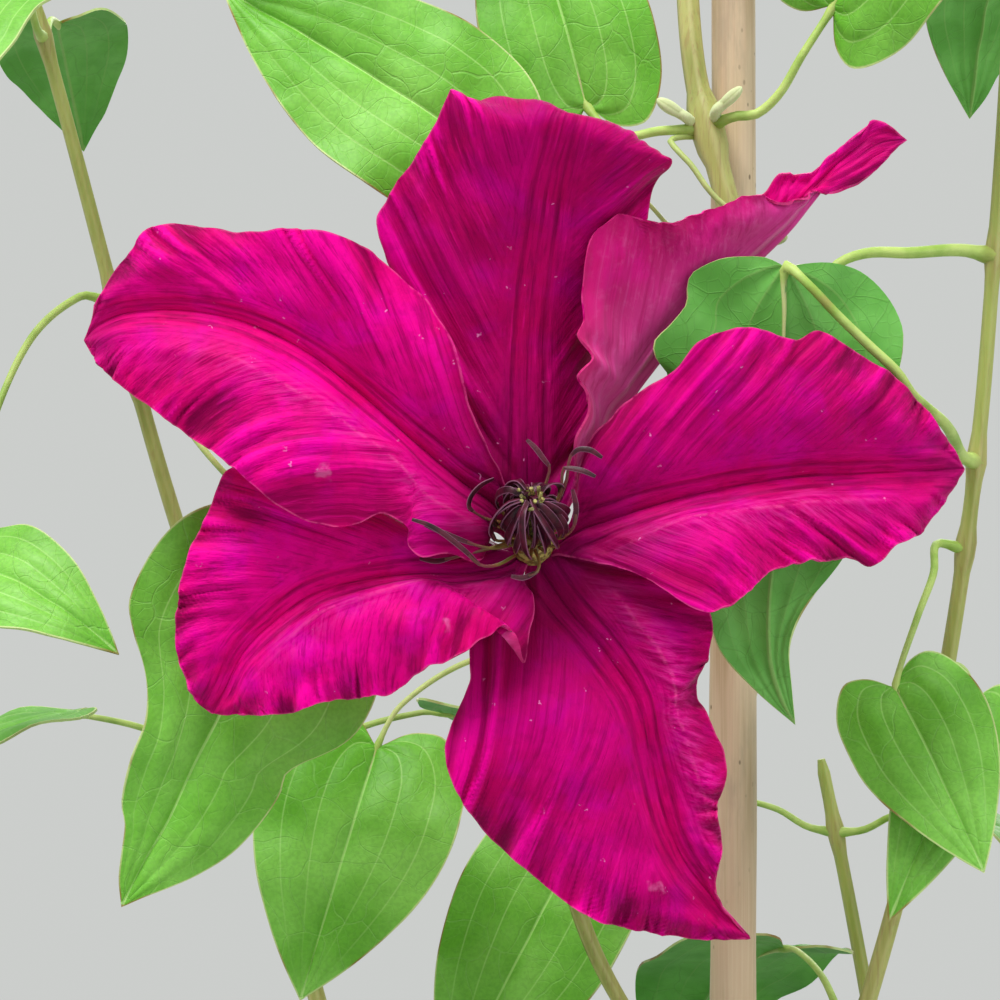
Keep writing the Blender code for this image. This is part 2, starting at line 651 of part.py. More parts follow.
TEPAL_ROOT = BOSS_FOOT - BOSS_AXIS * 5.5
TEPALS = {
    "top": (
        (
            (-0.9, 3.7, 1), (-0.7, 12, 1.5), (-0.6, 21, 2), (0, 31.6, 3), (1.2, 41.4, 5),
            (2.5, 49.6, 8), (5, 58, 11), (5.4, 57.6, 4), (6, 54, -4),
        ),
        (
            (-4.5, 5, 0.5), (-8.5, 10.6, 1), (-12.5, 18.9, 1), (-17.5, 28.6, 2), (-20.5, 35.5, 2.5),
            (-22.9, 43, 3.5), (-21.3, 47, 4.5), (-18, 51.4, 6), (-14.6, 56.8, 8), (-12, 62, 9),
            (-10, 60.5, 2), (-3, 57, -4), (6, 54, -4),
        ),
        (
            (2.4, 4.5, 0.5), (7.5, 10.6, -1), (10.5, 18.9, -1.5), (13, 30.1, -1), (15.5, 40, 1),
            (17.7, 46, 3), (20.4, 51.8, 6), (14, 52, 0), (6, 54, -4),
        ),
    ),
    "upper_right": (
        (
            (6.4, 3.4, 0), (9.3, 8.4, -1), (12.9, 14.8, -2), (17.7, 21.4, -3), (23.7, 28.6, -4),
            (29.7, 33.7, -5), (35.4, 38.8, -6), (41.4, 45.1, -7), (45.5, 48.2, -8),
            (49.5, 50.9, -9), (53.4, 54.5, -10), (57.5, 57, -10),
        ),
        (
            (5.1, 4.6, -1), (5.7, 10.6, -3), (6, 18.1, -4), (5.7, 24.9, -5), (8.7, 33.9, -6),
            (13.2, 42.5, -7), (25.2, 43.3, -8), (33.7, 48.6, -8), (40.6, 51.4, -9),
            (47, 54.9, -10), (52, 59.7, -10), (57.5, 57, -10),
        ),
        (
            (7.8, 2.8, 1), (6, 11.2, 4), (7.6, 18, 5), (6, 20.1, 5.5), (8.8, 22.8, 6),
            (6.6, 26.1, 6), (7.8, 34, 5), (8.4, 39.7, 5), (12, 44.1, 4), (16.5, 43.3, 3),
            (24.1, 43.8, 2), (32.1, 46.9, 0), (42.4, 47.8, -6), (49.2, 49.9, -8),
            (54.2, 53.9, -10), (57.5, 57, -10),
        ),
    ),
    "right": (
        (
            (6.2, -3.4, 1.5), (10.9, -1.6, 3), (17.7, 0.7, 4), (24.4, 2.5, 4), (31.9, 4, 4),
            (39.4, 5.1, 3), (46.9, 5.5, 2), (54.4, 5.8, 1), (60.4, 6.1, 0), (65, 6.3, -1),
        ),
        (
            (6, -1.2, 1.5), (8, 9.5, 4), (12.4, 14.4, 6), (16.9, 18, 7), (21, 20.8, 7.5),
            (24.9, 25.5, 8), (32.1, 27.1, 8), (39, 25.3, 7.5), (42.6, 26.5, 7), (48.6, 23.2, 5),
            (55, 19.2, 3), (62, 11.1, 0), (65, 6.3, -1),
        ),
        (
            (5.6, -5.8, 1.5), (11.2, -7.9, 5), (16.5, -9.7, 8), (21.7, -13.2, 10.5),
            (25.3, -15, 12), (27.3, -14.8, 12), (31.3, -12.6, 11), (34.9, -9.1, 9),
            (41.4, -7.2, 8), (47.4, -6.7, 6), (50.7, -8.1, 5), (53.8, -5.5, 4), (57.4, -3.7, 2),
            (61.2, 0.4, 0), (65, 6.3, -1),
        ),
    ),
    "bottom": (
        (
            (1.9, -7.8, 1), (6, -14.5, 2), (11.2, -19.5, 2.5), (15.7, -28.6, 3), (17.7, -36.6, 3),
            (19.8, -45.6, 3), (22.9, -52.6, 3), (27, -57.6, 2), (32.7, -64, 1),
        ),
        (
            (4.5, -5.5, 0.5), (14.4, -7, 2), (25.8, -13.5, 4.5), (26.4, -21, 5), (24.3, -25, 4.5),
            (24.4, -27.4, 4), (27.3, -33.1, 4), (28.9, -38.7, 4), (27.6, -43.9, 4),
            (28.2, -50.4, 3.5), (27.1, -56.8, 3), (29.8, -60.6, 2), (32.7, -64, 1),
        ),
        (
            (0.4, -8.2, 1), (-3.6, -17.1, 1.5), (-9, -19.5, 2), (-9.3, -25.6, 2.5),
            (-12.9, -34.8, 3.5), (-11.7, -40.6, 4), (-7.5, -47.2, 4), (-0.4, -53.8, 4),
            (9.1, -60.7, 3), (23.7, -63.9, 2), (32.7, -64, 1),
        ),
    ),
    "lower_left": (
        (
            (-3, -7.9, 2.5), (-10, -9.3, 4), (-17.5, -9.4, 4), (-25, -10.3, 3.5),
            (-32.5, -12.4, 3), (-38.5, -16.6, 3), (-43, -21.1, 2.5), (-45.9, -26.8, 2),
            (-47.8, -30.3, 1.5),
        ),
        (
            (-1.4, -10.2, 3), (0, -13.8, 6), (-1.2, -19.5, 8.5), (-3, -18, 9), (-5.7, -18.3, 10),
            (-12, -22, 10), (-17.2, -23.7, 9), (-20.7, -26.5, 8.5), (-30.4, -28.2, 6),
            (-34.8, -29.8, 5), (-43, -30.4, 3), (-47.8, -30.3, 1.5),
        ),
        (
            (-4, -5.8, 2.5), (-9, -2.5, 2), (-17, -1, 2), (-27, 3, 2.5),
            (-35.5, 3.9, 2.5), (-45, 6.4, 2.5), (-48.5, -0.5, 2.5), (-51.3, -6.6, 2.5),
            (-53, -14, 2), (-52.9, -21.6, 2), (-50.4, -28, 1.5), (-47.8, -30.3, 1.5),
        ),
    ),
    "upper_left": (
        (
            (-5.6, 0.8, 2.5), (-10.5, 4.3, 4.5), (-17.5, 10.2, 5), (-25, 16.9, 5),
            (-33.3, 23.4, 5), (-42.3, 27.9, 4), (-51.3, 29.8, 3), (-60.3, 29.7, 1),
            (-64.8, 27.9, 0), (-67.2, 25.6, -1),
        ),
        (
            (-5.8, -2.2, 2.5), (-8.2, -7, 6.5), (-12.7, -6.3, 9), (-16, -6.7, 10),
            (-18.1, -4.6, 10), (-22, -0.2, 10), (-28, -2.1, 11), (-37, 0.6, 11),
            (-47.5, 9.1, 9), (-55.8, 14.8, 6), (-63.3, 20.4, 2), (-66.3, 24.1, 0),
            (-67.2, 25.6, -1),
        ),
        (
            (-4.6, 3, 2.5), (-6.3, 8.8, 5), (-9.3, 15.9, 7), (-12, 25.6, 8), (-20.5, 35.4, 8),
            (-30.3, 41.4, 8), (-43.8, 41.4, 6), (-56.1, 42.4, 4), (-60.4, 38.4, 2.5),
            (-64.3, 33.1, 1), (-67.2, 25.6, -1),
        ),
    ),
}


def in_bloom(place):
    """A point of the bloom in the part's frame."""
    return BLOOM + Vector((place[0], -place[2], place[1]))


class Tepal:
    """A thin tepal, hollow along its rib, full on both sides of it, and waved at its margins."""

    def __init__(self, rib, left, right, seed):
        lines = []
        for points in (rib, left, right):
            root = TEPAL_ROOT.lerp(Vector(points[0]), 0.3)
            lines.append(Line([root, *points]))
        self.rib, self.left, self.right = lines
        chance = random.Random(seed)
        self.phase = chance.uniform(0, 6)
        self.pace = chance.uniform(15, 19)

    def point(self, share, across):
        reach = abs(across)
        rib = self.rib.at(share)
        edge = (self.left if across < 0 else self.right).at(share)
        ahead = self.rib.at(share + 0.02) - self.rib.at(share - 0.02)
        out = edge - rib
        up = ahead.cross(out) if across < 0 else out.cross(ahead)
        up = up.normalized() if up.length > 1e-6 else Vector((0, 0, 1))
        bulge = 0.12 * out.length * math.sin(math.pi * reach)
        wave = 0.05 * out.length * reach**3 * math.sin(self.pace * share + self.phase)
        return in_bloom(rib + out * reach + up * (bulge + wave))

    def mesh(self):
        return sheet(self.point, TEPAL_ROWS, TEPAL_COLUMNS, TEPAL_THICKNESS)


def beside_boss(degrees, off, height):
    """A point beside the boss's axis."""
    right = Vector((1, 0, 0))
    right = (right - BOSS_AXIS * BOSS_AXIS.dot(right)).normalized()
    up = BOSS_AXIS.cross(right)
    angle = math.radians(degrees)
    way = right * math.cos(angle) + up * math.sin(angle)
    return in_bloom(BOSS_FOOT + BOSS_AXIS * height + way * off)


def tepals():
    top = in_bloom(BOSS_FOOT - BOSS_AXIS * (1.0 + SEAT_GAP))
    foot = in_bloom(BOSS_FOOT - BOSS_AXIS * (1.0 + SEAT_GAP + CORE_LENGTH))
    pieces = [rod([top, foot], [CORE_RADIUS, CORE_RADIUS * 0.7], 2)]
    for seed, margins in enumerate(TEPALS.values()):
        pieces.append(Tepal(*margins, seed).mesh())
    fuse("bloom_tepals", pieces, TEPAL_RED)


def stamens():
    chance = random.Random(7)
    foot = in_bloom(BOSS_FOOT - BOSS_AXIS * 1.0)
    pieces = [rod([foot, in_bloom(BOSS_FOOT)], [3.4, 3.4], 2)]
    styles = [beside_boss(0, 0, rise) for rise in (-0.6, 5.0, 10.4)]
    pieces.append(rod(styles, (2.2, 1.9, 1.0), 1))
    for count, foot_off, thickness in ANTHER_RINGS:
        for index in range(count):
            degrees = 360 * (index + chance.uniform(-0.2, 0.2)) / count
            full = BOSS_RADIUS * foot_off / 3.4 * chance.uniform(0.92, 1.05)
            height = BOSS_HEIGHT * chance.uniform(0.86, 1.0)
            lean = chance.uniform(-10, 10)
            path = [
                beside_boss(degrees, foot_off * 0.9, -0.5),
                beside_boss(degrees, full * 0.92, height * 0.32),
                beside_boss(degrees + lean * 0.5, full * 0.9, height * 0.62),
                beside_boss(degrees + lean, full * 0.38, height),
            ]
            pieces.append(rod(path, (0.5, thickness, thickness, 0.5)))
    fuse("bloom_stamens", pieces, STAMEN_PURPLE)


def bloom_stalk():
    behind = BOSS_FOOT - BOSS_AXIS * (1.0 + SEAT_GAP + CORE_LENGTH + SEAT_GAP)
    stem, radius = MAIN.at(376)
    off = radius + 1.5 * SEAT_GAP
    path = Line([
        in_bloom(behind), in_bloom(behind - BOSS_AXIS * 6), (-33, -20, 452), (-31, -8, 430),
        (-24, 2, 402), (-14, 6, 383), stem + Vector((-off - 4, 0, 0.6)),
    ])
    points = [*path.sampled(13), stem + Vector((-off, 0, 0))]
    mesh = rod(points, tapered(1.5, 1.2, 14), 1)
    add("bloom_stalk", mesh, STEM_GREEN)


def bud(name, path, length, radius):
    """A pale bud on a short stalk."""
    end = Vector(path[-1])
    way = (end - Vector(path[-2])).normalized()
    points = [end + way * length * rise for rise in (-0.2, 0.25, 0.6, 1.0)]
    egg = rod(points, (radius * 0.55, radius, radius * 0.8, 0.25), 1)
    fuse(name, [rod(path, tapered(0.9, 0.8, len(path))), egg], BUD_GREEN)


def buds():
    bud("bud_left", [*rim_of(MAIN, 534.5, -160), (-11, -8.6, 536)], 6, 1.5)
    bud("bud_right", [*rim_of(MAIN, 537, -60), (-1.5, -11.5, 541)], 5, 1.4)


pot()
MAIN.make("stem_main")
LEFT.make("stem_left")
BACK.make("stem_back")
RIGHT.make("shoot_right")
compost()
cane()
tepals()
stamens()
bloom_stalk()
buds()
leaves_round_bloom()
leaves_by_rule()
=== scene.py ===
# A potted clematis: a clay pot of compost, a bamboo cane, and a vine with its leaves, two small
# buds and one open bloom. Each section holds one piece or group of like pieces, in the order in
# which the plant is put together. Lengths are in millimetres and are multiplied by MM.

import math
import random

import bmesh
import bpy
from mathutils import Matrix, Vector, noise


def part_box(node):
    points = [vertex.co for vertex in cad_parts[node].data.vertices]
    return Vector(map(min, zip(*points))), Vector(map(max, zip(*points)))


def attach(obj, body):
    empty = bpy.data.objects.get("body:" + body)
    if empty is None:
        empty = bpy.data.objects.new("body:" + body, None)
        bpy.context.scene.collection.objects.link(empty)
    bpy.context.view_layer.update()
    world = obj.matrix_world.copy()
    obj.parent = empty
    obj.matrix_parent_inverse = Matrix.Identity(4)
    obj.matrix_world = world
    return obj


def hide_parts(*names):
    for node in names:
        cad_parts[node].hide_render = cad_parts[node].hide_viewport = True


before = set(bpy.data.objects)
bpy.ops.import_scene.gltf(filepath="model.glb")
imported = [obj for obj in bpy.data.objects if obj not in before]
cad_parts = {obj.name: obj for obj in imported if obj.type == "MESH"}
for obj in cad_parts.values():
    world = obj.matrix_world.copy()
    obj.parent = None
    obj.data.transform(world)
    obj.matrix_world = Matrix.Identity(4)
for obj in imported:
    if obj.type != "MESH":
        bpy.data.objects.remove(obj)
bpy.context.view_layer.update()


# Stage. The photograph looks level at the bloom from half a metre away through a long lens, in
# soft daylight from above and to the left. The floor is a pale disc that fades into the backdrop.

MM = 0.001
LENS = 120.0
SENSOR = 36.0
EYE = Vector((-37.8, -540.0, 471.65))
BACKDROP = (0.80, 0.82, 0.80)
FLOOR_RADIUS = 1900.0
FLOOR_FADE = 700.0


def place_camera():
    data = bpy.data.cameras.new("eye")
    data.lens = LENS
    data.sensor_width = SENSOR
    data.clip_start = 10 * MM
    data.clip_end = 20.0
    made = bpy.data.objects.new("eye", data)
    made.location = EYE * MM
    made.rotation_euler = (math.pi / 2, 0, 0)
    bpy.context.scene.collection.objects.link(made)
    bpy.context.scene.camera = made


def place_lamp(name, place, towards, size, power, tint):
    data = bpy.data.lights.new(name, "AREA")
    data.shape = "DISK"
    data.size = size * MM
    data.energy = power
    data.color = tint
    made = bpy.data.objects.new(name, data)
    place, towards = Vector(place) * MM, Vector(towards) * MM
    made.location = place
    made.rotation_euler = (towards - place).to_track_quat("-Z", "Y").to_euler()
    bpy.context.scene.collection.objects.link(made)


def light_backdrop():
    world = bpy.data.worlds.new("backdrop")
    world.use_nodes = True
    sky = world.node_tree.nodes["Background"]
    sky.inputs["Color"].default_value = (*BACKDROP, 1)
    sky.inputs["Strength"].default_value = 0.75
    bpy.context.scene.world = world


place_camera()
light_backdrop()
bpy.context.scene.view_settings.view_transform = "Standard"
BLOOM = Vector((-33.0, -40.0, 470.0))
place_lamp("key", (-400, -560, 1720), BLOOM, 650, 21, (1.0, 0.99, 0.97))
place_lamp("side", (1100, -700, 800), (0, 0, 300), 900, 5, (0.97, 0.99, 1.0))
place_lamp("behind", (300, 1300, 1200), (0, 0, 350), 900, 9, (1.0, 1.0, 1.0))


class Value:
    """A value, colour or vector in a finish. An expression on values adds its Math nodes."""

    def __init__(self, finish, socket):
        self.finish = finish
        self.socket = socket

    def maths(self, operation, *values):
        return self.finish.node("Math", {"operation": operation}, dict(enumerate(values)))

    def __add__(self, other):
        return self.maths("ADD", self, other)

    def __sub__(self, other):
        return self.maths("SUBTRACT", self, other)

    def __rsub__(self, other):
        return self.maths("SUBTRACT", other, self)

    def __mul__(self, other):
        return self.maths("MULTIPLY", self, other)

    def __truediv__(self, other):
        return self.maths("DIVIDE", self, other)

    def __pow__(self, power):
        return self.maths("POWER", self, power)

    __radd__ = __add__
    __rmul__ = __mul__

    def size(self):
        return self.maths("ABSOLUTE", self)

    def larger(self, other):
        return self.maths("MAXIMUM", self, other)

    def step(self, low, high):
        """0 below low, 1 above high, and smooth between them. High may be below low."""
        settings = {"interpolation_type": "SMOOTHSTEP"}
        sockets = {"Value": self, "From Min": low, "From Max": high}
        return self.finish.node("MapRange", settings, sockets)

    def parts(self):
        """The three numbers of a vector."""
        split = self.finish.node("SeparateXYZ", {}, {"Vector": self})
        outputs = split.socket.node.outputs
        return [Value(self.finish, output) for output in outputs]


def rgb(red, green, blue):
    """A colour as screens show it, from 0 to 255, made linear."""
    shares = [part / 255 for part in (red, green, blue)]
    return tuple(
        share / 12.92 if share < 0.04045 else ((share + 0.055) / 1.055) ** 2.4
        for share in shares
    )


class Finish:
    """A material: one Principled shader, and the pattern that feeds it."""

    def __init__(self, name, **constants):
        self.material = bpy.data.materials.new(name)
        self.material.use_nodes = True
        self.tree = self.material.node_tree
        self.shader = self.tree.nodes["Principled BSDF"]
        for key, value in constants.items():
            self.feed(self.shader.inputs[key.replace("_", " ")], value)

    def feed(self, socket, value):
        if isinstance(value, Value):
            self.tree.links.new(value.socket, socket)
        elif isinstance(value, tuple) and len(socket.default_value) == 4:
            socket.default_value = (*value[:3], 1.0)
        else:
            socket.default_value = value

    def node(self, kind, settings, sockets, output=0):
        """Adds a node, its settings first, then the values or links of its sockets."""
        made = self.tree.nodes.new("ShaderNode" + kind)
        for key, value in settings.items():
            setattr(made, key, value)
        for key, value in sockets.items():
            self.feed(made.inputs[key], value)
        return Value(self, made.outputs[output])

    def place(self, stretch=(1, 1, 1)):
        """Object coordinates in millimetres, stretched along each axis."""
        spot = self.node("TexCoord", {}, {}, "Object")
        scale = tuple(share / MM for share in stretch)
        return self.node("Mapping", {}, {"Vector": spot, "Scale": scale})

    def attribute(self, name):
        return self.node("Attribute", {"attribute_name": name}, {}, "Vector")

    def vector(self, x, y, z=0.0):
        return self.node("CombineXYZ", {}, {"X": x, "Y": y, "Z": z})

    def bent(self, spot, by, size):
        """A place moved about by soft noise, by as much as half of by."""
        sockets = {"Vector": spot, "Scale": 1 / size, "Detail": 1.0}
        push = self.node("TexNoise", {}, sockets, 1)
        centred = self.node("VectorMath", {"operation": "SUBTRACT"}, {0: push, 1: (0.5, 0.5, 0.5)})
        settings = {"operation": "MULTIPLY_ADD"}
        return self.node("VectorMath", settings, {0: centred, 1: (by, by, by), 2: spot})

    def grain(self, spot, size, detail=3.0, roughness=0.55):
        """Soft noise from 0 to 1, its blotches about size across."""
        sockets = {"Vector": spot, "Scale": 1 / size, "Detail": detail, "Roughness": roughness}
        return self.node("TexNoise", {}, sockets)

    def cells(self, spot, size):
        """Distance to the nearest spot."""
        return self.node("TexVoronoi", {}, {"Vector": spot, "Scale": 1 / size})

    def meshes(self, spot, size):
        """Distance to the nearest thread of a flat net, its meshes about size across."""
        settings = {"voronoi_dimensions": "2D", "feature": "DISTANCE_TO_EDGE"}
        return self.node("TexVoronoi", settings, {"Vector": spot, "Scale": 1 / size})

    def mix(self, share, first, second):
        """From the first colour to the second."""
        settings = {"data_type": "RGBA", "clamp_factor": True}
        return self.node("Mix", settings, {0: share, 6: first, 7: second}, 2)

    def bump(self, height, depth, strength=1.0, under=None):
        """A normal from a height of 0 to 1 that stands for depth millimetres."""
        sockets = {"Height": height, "Distance": depth * MM, "Strength": strength}
        if under is not None:
            sockets["Normal"] = under
        return self.node("Bump", {}, sockets)

    def dress(self, **values):
        """Feeds what changes over the surface to the shader."""
        for key, value in values.items():
            self.feed(self.shader.inputs[key.replace("_", " ")], value)
        return self.material


def floor():
    finish = Finish("pale_floor", Roughness=0.9)
    spot = finish.place().parts()
    off = (spot[0] * spot[0] + spot[1] * spot[1]) ** 0.5
    seen = off.step(FLOOR_RADIUS - 50, FLOOR_RADIUS - FLOOR_FADE)
    mottle = finish.grain(finish.place(), 90.0)
    colour = finish.mix(mottle, (0.46, 0.47, 0.46), (0.49, 0.50, 0.49))
    material = finish.dress(Base_Color=colour, Alpha=seen)
    shape = bmesh.new()
    bmesh.ops.create_circle(shape, cap_ends=True, segments=96, radius=FLOOR_RADIUS * MM)
    mesh = bpy.data.meshes.new("floor")
    shape.to_mesh(mesh)
    shape.free()
    mesh.materials.append(material)
    made = bpy.data.objects.new("floor", mesh)
    bpy.context.scene.collection.objects.link(made)


floor()


# Pot. A plain unglazed clay pot with a rolled rim, turned on a wheel, which left faint rings in
# it. Four drain holes are cut in its floor. Lime from the watering has dried on it in patches.

pot_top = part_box("pot")[1] / MM
POT_HEIGHT = pot_top.z
RIM_RADIUS = pot_top.x
RIM_HEIGHT = 34.0
RIM_ROUND = 4.0
POT_FOOT_RADIUS = 62.0
POT_SHOULDER_RADIUS = 88.0
POT_WALL = 8.0
POT_FLOOR = 10.0
POT_SIDES = 144
ARC_STEPS = 6
WHEEL_RING = 3.1
DRAIN_RADIUS = 6.0
DRAIN_RING_RADIUS = 34.0
DRAIN_COUNT = 4


def arc(centre, radius, start, end):
    """Points (radius, height) on an arc between two directions in degrees."""
    turns = [start + (end - start) * step / ARC_STEPS for step in range(ARC_STEPS + 1)]
    angles = [math.radians(turn) for turn in turns]
    return [
        (centre[0] + radius * math.cos(angle), centre[1] + radius * math.sin(angle))
        for angle in angles
    ]


def slope(first, second, length):
    """Points between two places, about length apart, without the ends."""
    run = math.hypot(second[0] - first[0], second[1] - first[1])
    count = max(1, round(run / length))
    return [
        tuple(a + (b - a) * step / count for a, b in zip(first, second))
        for step in range(1, count)
    ]


def spun(profile, sides):
    """A closed shape turned round Z from a profile of (radius, height) pairs."""
    shape = bmesh.new()
    line = [shape.verts.new(Vector((radius, 0, height)) * MM) for radius, height in profile]
    for first, second in zip(line, line[1:]):
        shape.edges.new((first, second))
    bmesh.ops.spin(
        shape,
        geom=shape.verts[:] + shape.edges[:],
        cent=(0, 0, 0),
        axis=(0, 0, 1),
        angle=2 * math.pi,
        steps=sides,
        use_merge=True,
    )
    bmesh.ops.remove_doubles(shape, verts=shape.verts, dist=0.01 * MM)
    bmesh.ops.recalc_face_normals(shape, faces=shape.faces)
    return shape


def piece(name, mesh, nodes, finishes):
    """A finished piece, which stands for CAD nodes and takes its finish from a slot."""
    for index, finish in enumerate(finishes):
        if index < len(mesh.materials):
            mesh.materials[index] = finish
        else:
            mesh.materials.append(finish)
    mesh.shade_smooth()
    mesh.set_sharp_from_angle(angle=math.radians(50))
    made = bpy.data.objects.new(name, mesh)
    bpy.context.scene.collection.objects.link(made)
    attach(made, "root")
    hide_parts(*nodes)
    return made


def mesh_of(shape, name):
    mesh = bpy.data.meshes.new(name)
    shape.to_mesh(mesh)
    shape.free()
    return mesh


def baked(made):
    """Replaces an object by its finished mesh."""
    bpy.context.view_layer.update()
    graph = bpy.context.evaluated_depsgraph_get()
    mesh = bpy.data.meshes.new_from_object(made.evaluated_get(graph))
    bpy.data.objects.remove(made)
    return mesh


def loose(mesh):
    """An object that stands in the scene while it is worked on."""
    made = bpy.data.objects.new(mesh.name, mesh)
    bpy.context.scene.collection.objects.link(made)
    return made


def clay():
    finish = Finish("clay", Specular_IOR_Level=0.25)
    spot = finish.place()
    rings = finish.place((0.12, 0.12, 1.0))
    cloud = finish.grain(spot, 38.0, 4.0)
    band = finish.grain(rings, 5.0, 2.0)
    colour = finish.mix(cloud.step(0.3, 0.7), rgb(178, 98, 66), rgb(201, 122, 84))
    colour = finish.mix(band.step(0.45, 0.75) * 0.5, colour, rgb(160, 84, 55))
    sand = finish.grain(spot, 1.1, 2.0)
    colour = finish.mix(sand.step(0.6, 0.72) * 0.45, colour, rgb(224, 160, 122))
    colour = finish.mix(sand.step(0.4, 0.3) * 0.45, colour, rgb(120, 62, 42))
    height = spot.parts()[2]
    lime_cloud = finish.grain(finish.place((1, 1, 0.6)), 24.0, 6.0, 0.68)
    high = height.step(POT_HEIGHT - 74, POT_HEIGHT - 36) * height.step(POT_HEIGHT - 2, POT_HEIGHT - 30)
    lime = (lime_cloud + high * 0.13).step(0.55, 0.72) * 0.6
    colour = finish.mix(lime, colour, rgb(222, 205, 188))
    damp = (lime_cloud * -0.5 + height.step(70.0, 0.0)).step(0.1, 0.7) * 0.55
    colour = finish.mix(damp, colour, rgb(112, 62, 44))
    green = (finish.grain(spot, 15.0, 5.0) * height.step(60.0, 4.0)).step(0.32, 0.5) * 0.5
    colour = finish.mix(green, colour, rgb(88, 92, 52))
    relief = finish.bump(band, 0.25)
    relief = finish.bump(sand, 0.12, 0.8, relief)
    rough = 0.82 + lime * 0.12 - damp * 0.2
    return finish.dress(Base_Color=colour, Roughness=rough, Normal=relief)


def pot():
    rim_foot = POT_HEIGHT - RIM_HEIGHT
    inner_top = RIM_RADIUS - POT_WALL
    outer_top = (RIM_RADIUS - RIM_ROUND, POT_HEIGHT - RIM_ROUND)
    rim_low = (RIM_RADIUS - 4.2, rim_foot + 2.5)
    rim = [
        *arc((inner_top + 1, POT_HEIGHT - 4), 4.0, 180, 90),
        *arc(outer_top, RIM_ROUND, 90, 5),
    ]
    rim += slope(rim[-1], (RIM_RADIUS - 1.6, rim_foot + 2.5), 1.0)
    rim += arc(rim_low, 2.6, 0, -100)
    neck = arc((POT_SHOULDER_RADIUS + 1.5, rim_foot - 2.0), 1.8, 90, 190)
    foot = arc((POT_FOOT_RADIUS - 2.0, 2.5), 2.5, -8, -90)
    wall = slope(neck[-1], foot[0], 1.0)
    outside = [*rim, *neck, *wall, *foot]
    inner_foot = POT_FOOT_RADIUS - POT_WALL
    underside = [(radius, 0.0) for radius in (50.0, 44.0, 24.0, 12.0, 0.0)]
    inside = [(radius, POT_FLOOR) for radius in (0.0, 12.0, 24.0, 44.0)]
    inside += [(inner_foot, POT_FLOOR + 2)]
    inside += slope((inner_foot, POT_FLOOR + 2), rim[0], 6.0)
    profile = []
    for radius, height in outside:
        fade = min(1.0, height / 8)
        rings = 0.16 * math.sin(height * math.tau / WHEEL_RING) * noise.noise((0, 0, height / 9))
        groove = 0.25 * noise.noise((3, 0, height / 5))
        profile.append((radius + (rings + groove) * fade, height))
    shape = spun([*inside, *profile, *underside], POT_SIDES)
    for vert in shape.verts:
        place = vert.co / MM
        swell = 1 + 0.004 * noise.noise(place / 60)
        vert.co.x *= swell
        vert.co.y *= swell
        rim_worn = max(0.0, noise.noise(place / 7) - 0.35) * max(0.0, place.z - POT_HEIGHT + 3)
        vert.co.z -= 0.5 * rim_worn * MM
    made = loose(mesh_of(shape, "pot_body"))
    drills = []
    for index in range(DRAIN_COUNT):
        angle = math.tau * (index + 0.5) / DRAIN_COUNT
        spot = Vector((math.cos(angle), math.sin(angle), 0)) * DRAIN_RING_RADIUS
        drill = bmesh.new()
        bmesh.ops.create_cone(
            drill,
            cap_ends=True,
            segments=24,
            radius1=(DRAIN_RADIUS + 0.8) * MM,
            radius2=(DRAIN_RADIUS - 0.4) * MM,
            depth=(POT_FLOOR + 10) * MM,
            matrix=Matrix.Translation((spot + Vector((0, 0, POT_FLOOR / 2))) * MM),
        )
        drills.append(loose(mesh_of(drill, "drill")))
        hole = made.modifiers.new("hole", "BOOLEAN")
        hole.operation = "DIFFERENCE"
        hole.object = drills[-1]
        hole.solver = "EXACT"
    shape = bmesh.new()
    shape.from_mesh(baked(made))
    bmesh.ops.remove_doubles(shape, verts=shape.verts, dist=0.01 * MM)
    for drill in drills:
        bpy.data.objects.remove(drill)
    piece("pot_clay", mesh_of(shape, "pot_clay"), ["pot"], [clay()])


pot()


# Compost. Moist peaty compost, heaped a little in the middle, with chips of bark, thin fibres
# and a few pale grains of grit that lie on it. It was pressed down by hand round the stems.

soil_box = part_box("compost")
SOIL_RADIUS = soil_box[1].x / MM
SOIL_FOOT = soil_box[0].z / MM
SOIL_LEVEL = 146.0
SOIL_CELLS = 110
SOIL_MOUND = 3.0
BARK_COUNT = 420
GRIT_COUNT = 60
FIBRE_COUNT = 70


def soil_height(x, y):
    """How high the compost lies at a place."""
    reach = math.hypot(x, y) / SOIL_RADIUS
    spot = Vector((x, y, 0)) * 0.055
    lumps = 2.3 * noise.noise(spot) + 1.1 * noise.noise(spot * 3.1) + 0.7 * noise.noise(spot * 8)
    return SOIL_LEVEL + SOIL_MOUND * (1 - reach**2) + lumps * min(1.0, (1.02 - reach) * 8)


def peat():
    finish = Finish("peat", Specular_IOR_Level=0.3)
    spot = finish.place()
    crumb = finish.cells(spot, 1.6)
    fine = finish.grain(spot, 0.7, 4.0)
    cloud = finish.grain(spot, 14.0)
    colour = finish.mix(fine.step(0.3, 0.7), rgb(38, 27, 20), rgb(72, 52, 38))
    colour = finish.mix(cloud.step(0.4, 0.7) * 0.5, colour, rgb(26, 18, 14))
    colour = finish.mix(crumb.step(0.25, 0.7) * 0.6, colour, rgb(90, 66, 46))
    relief = finish.bump(crumb, 0.9)
    relief = finish.bump(fine, 0.4, 1.0, relief)
    rough = 0.75 + cloud * 0.2
    return finish.dress(Base_Color=colour, Roughness=rough, Normal=relief)


def bark():
    finish = Finish("bark_chip", Specular_IOR_Level=0.3)
    cloud = finish.grain(finish.place(), 4.0)
    lines = finish.grain(finish.place((1, 1, 4)), 0.8)
    colour = finish.mix(cloud.step(0.35, 0.65), rgb(58, 36, 24), rgb(128, 86, 54))
    colour = finish.mix(lines.step(0.5, 0.7) * 0.5, colour, rgb(34, 22, 15))
    relief = finish.bump(lines, 0.3)
    return finish.dress(Base_Color=colour, Roughness=cloud * 0.2 + 0.7, Normal=relief)


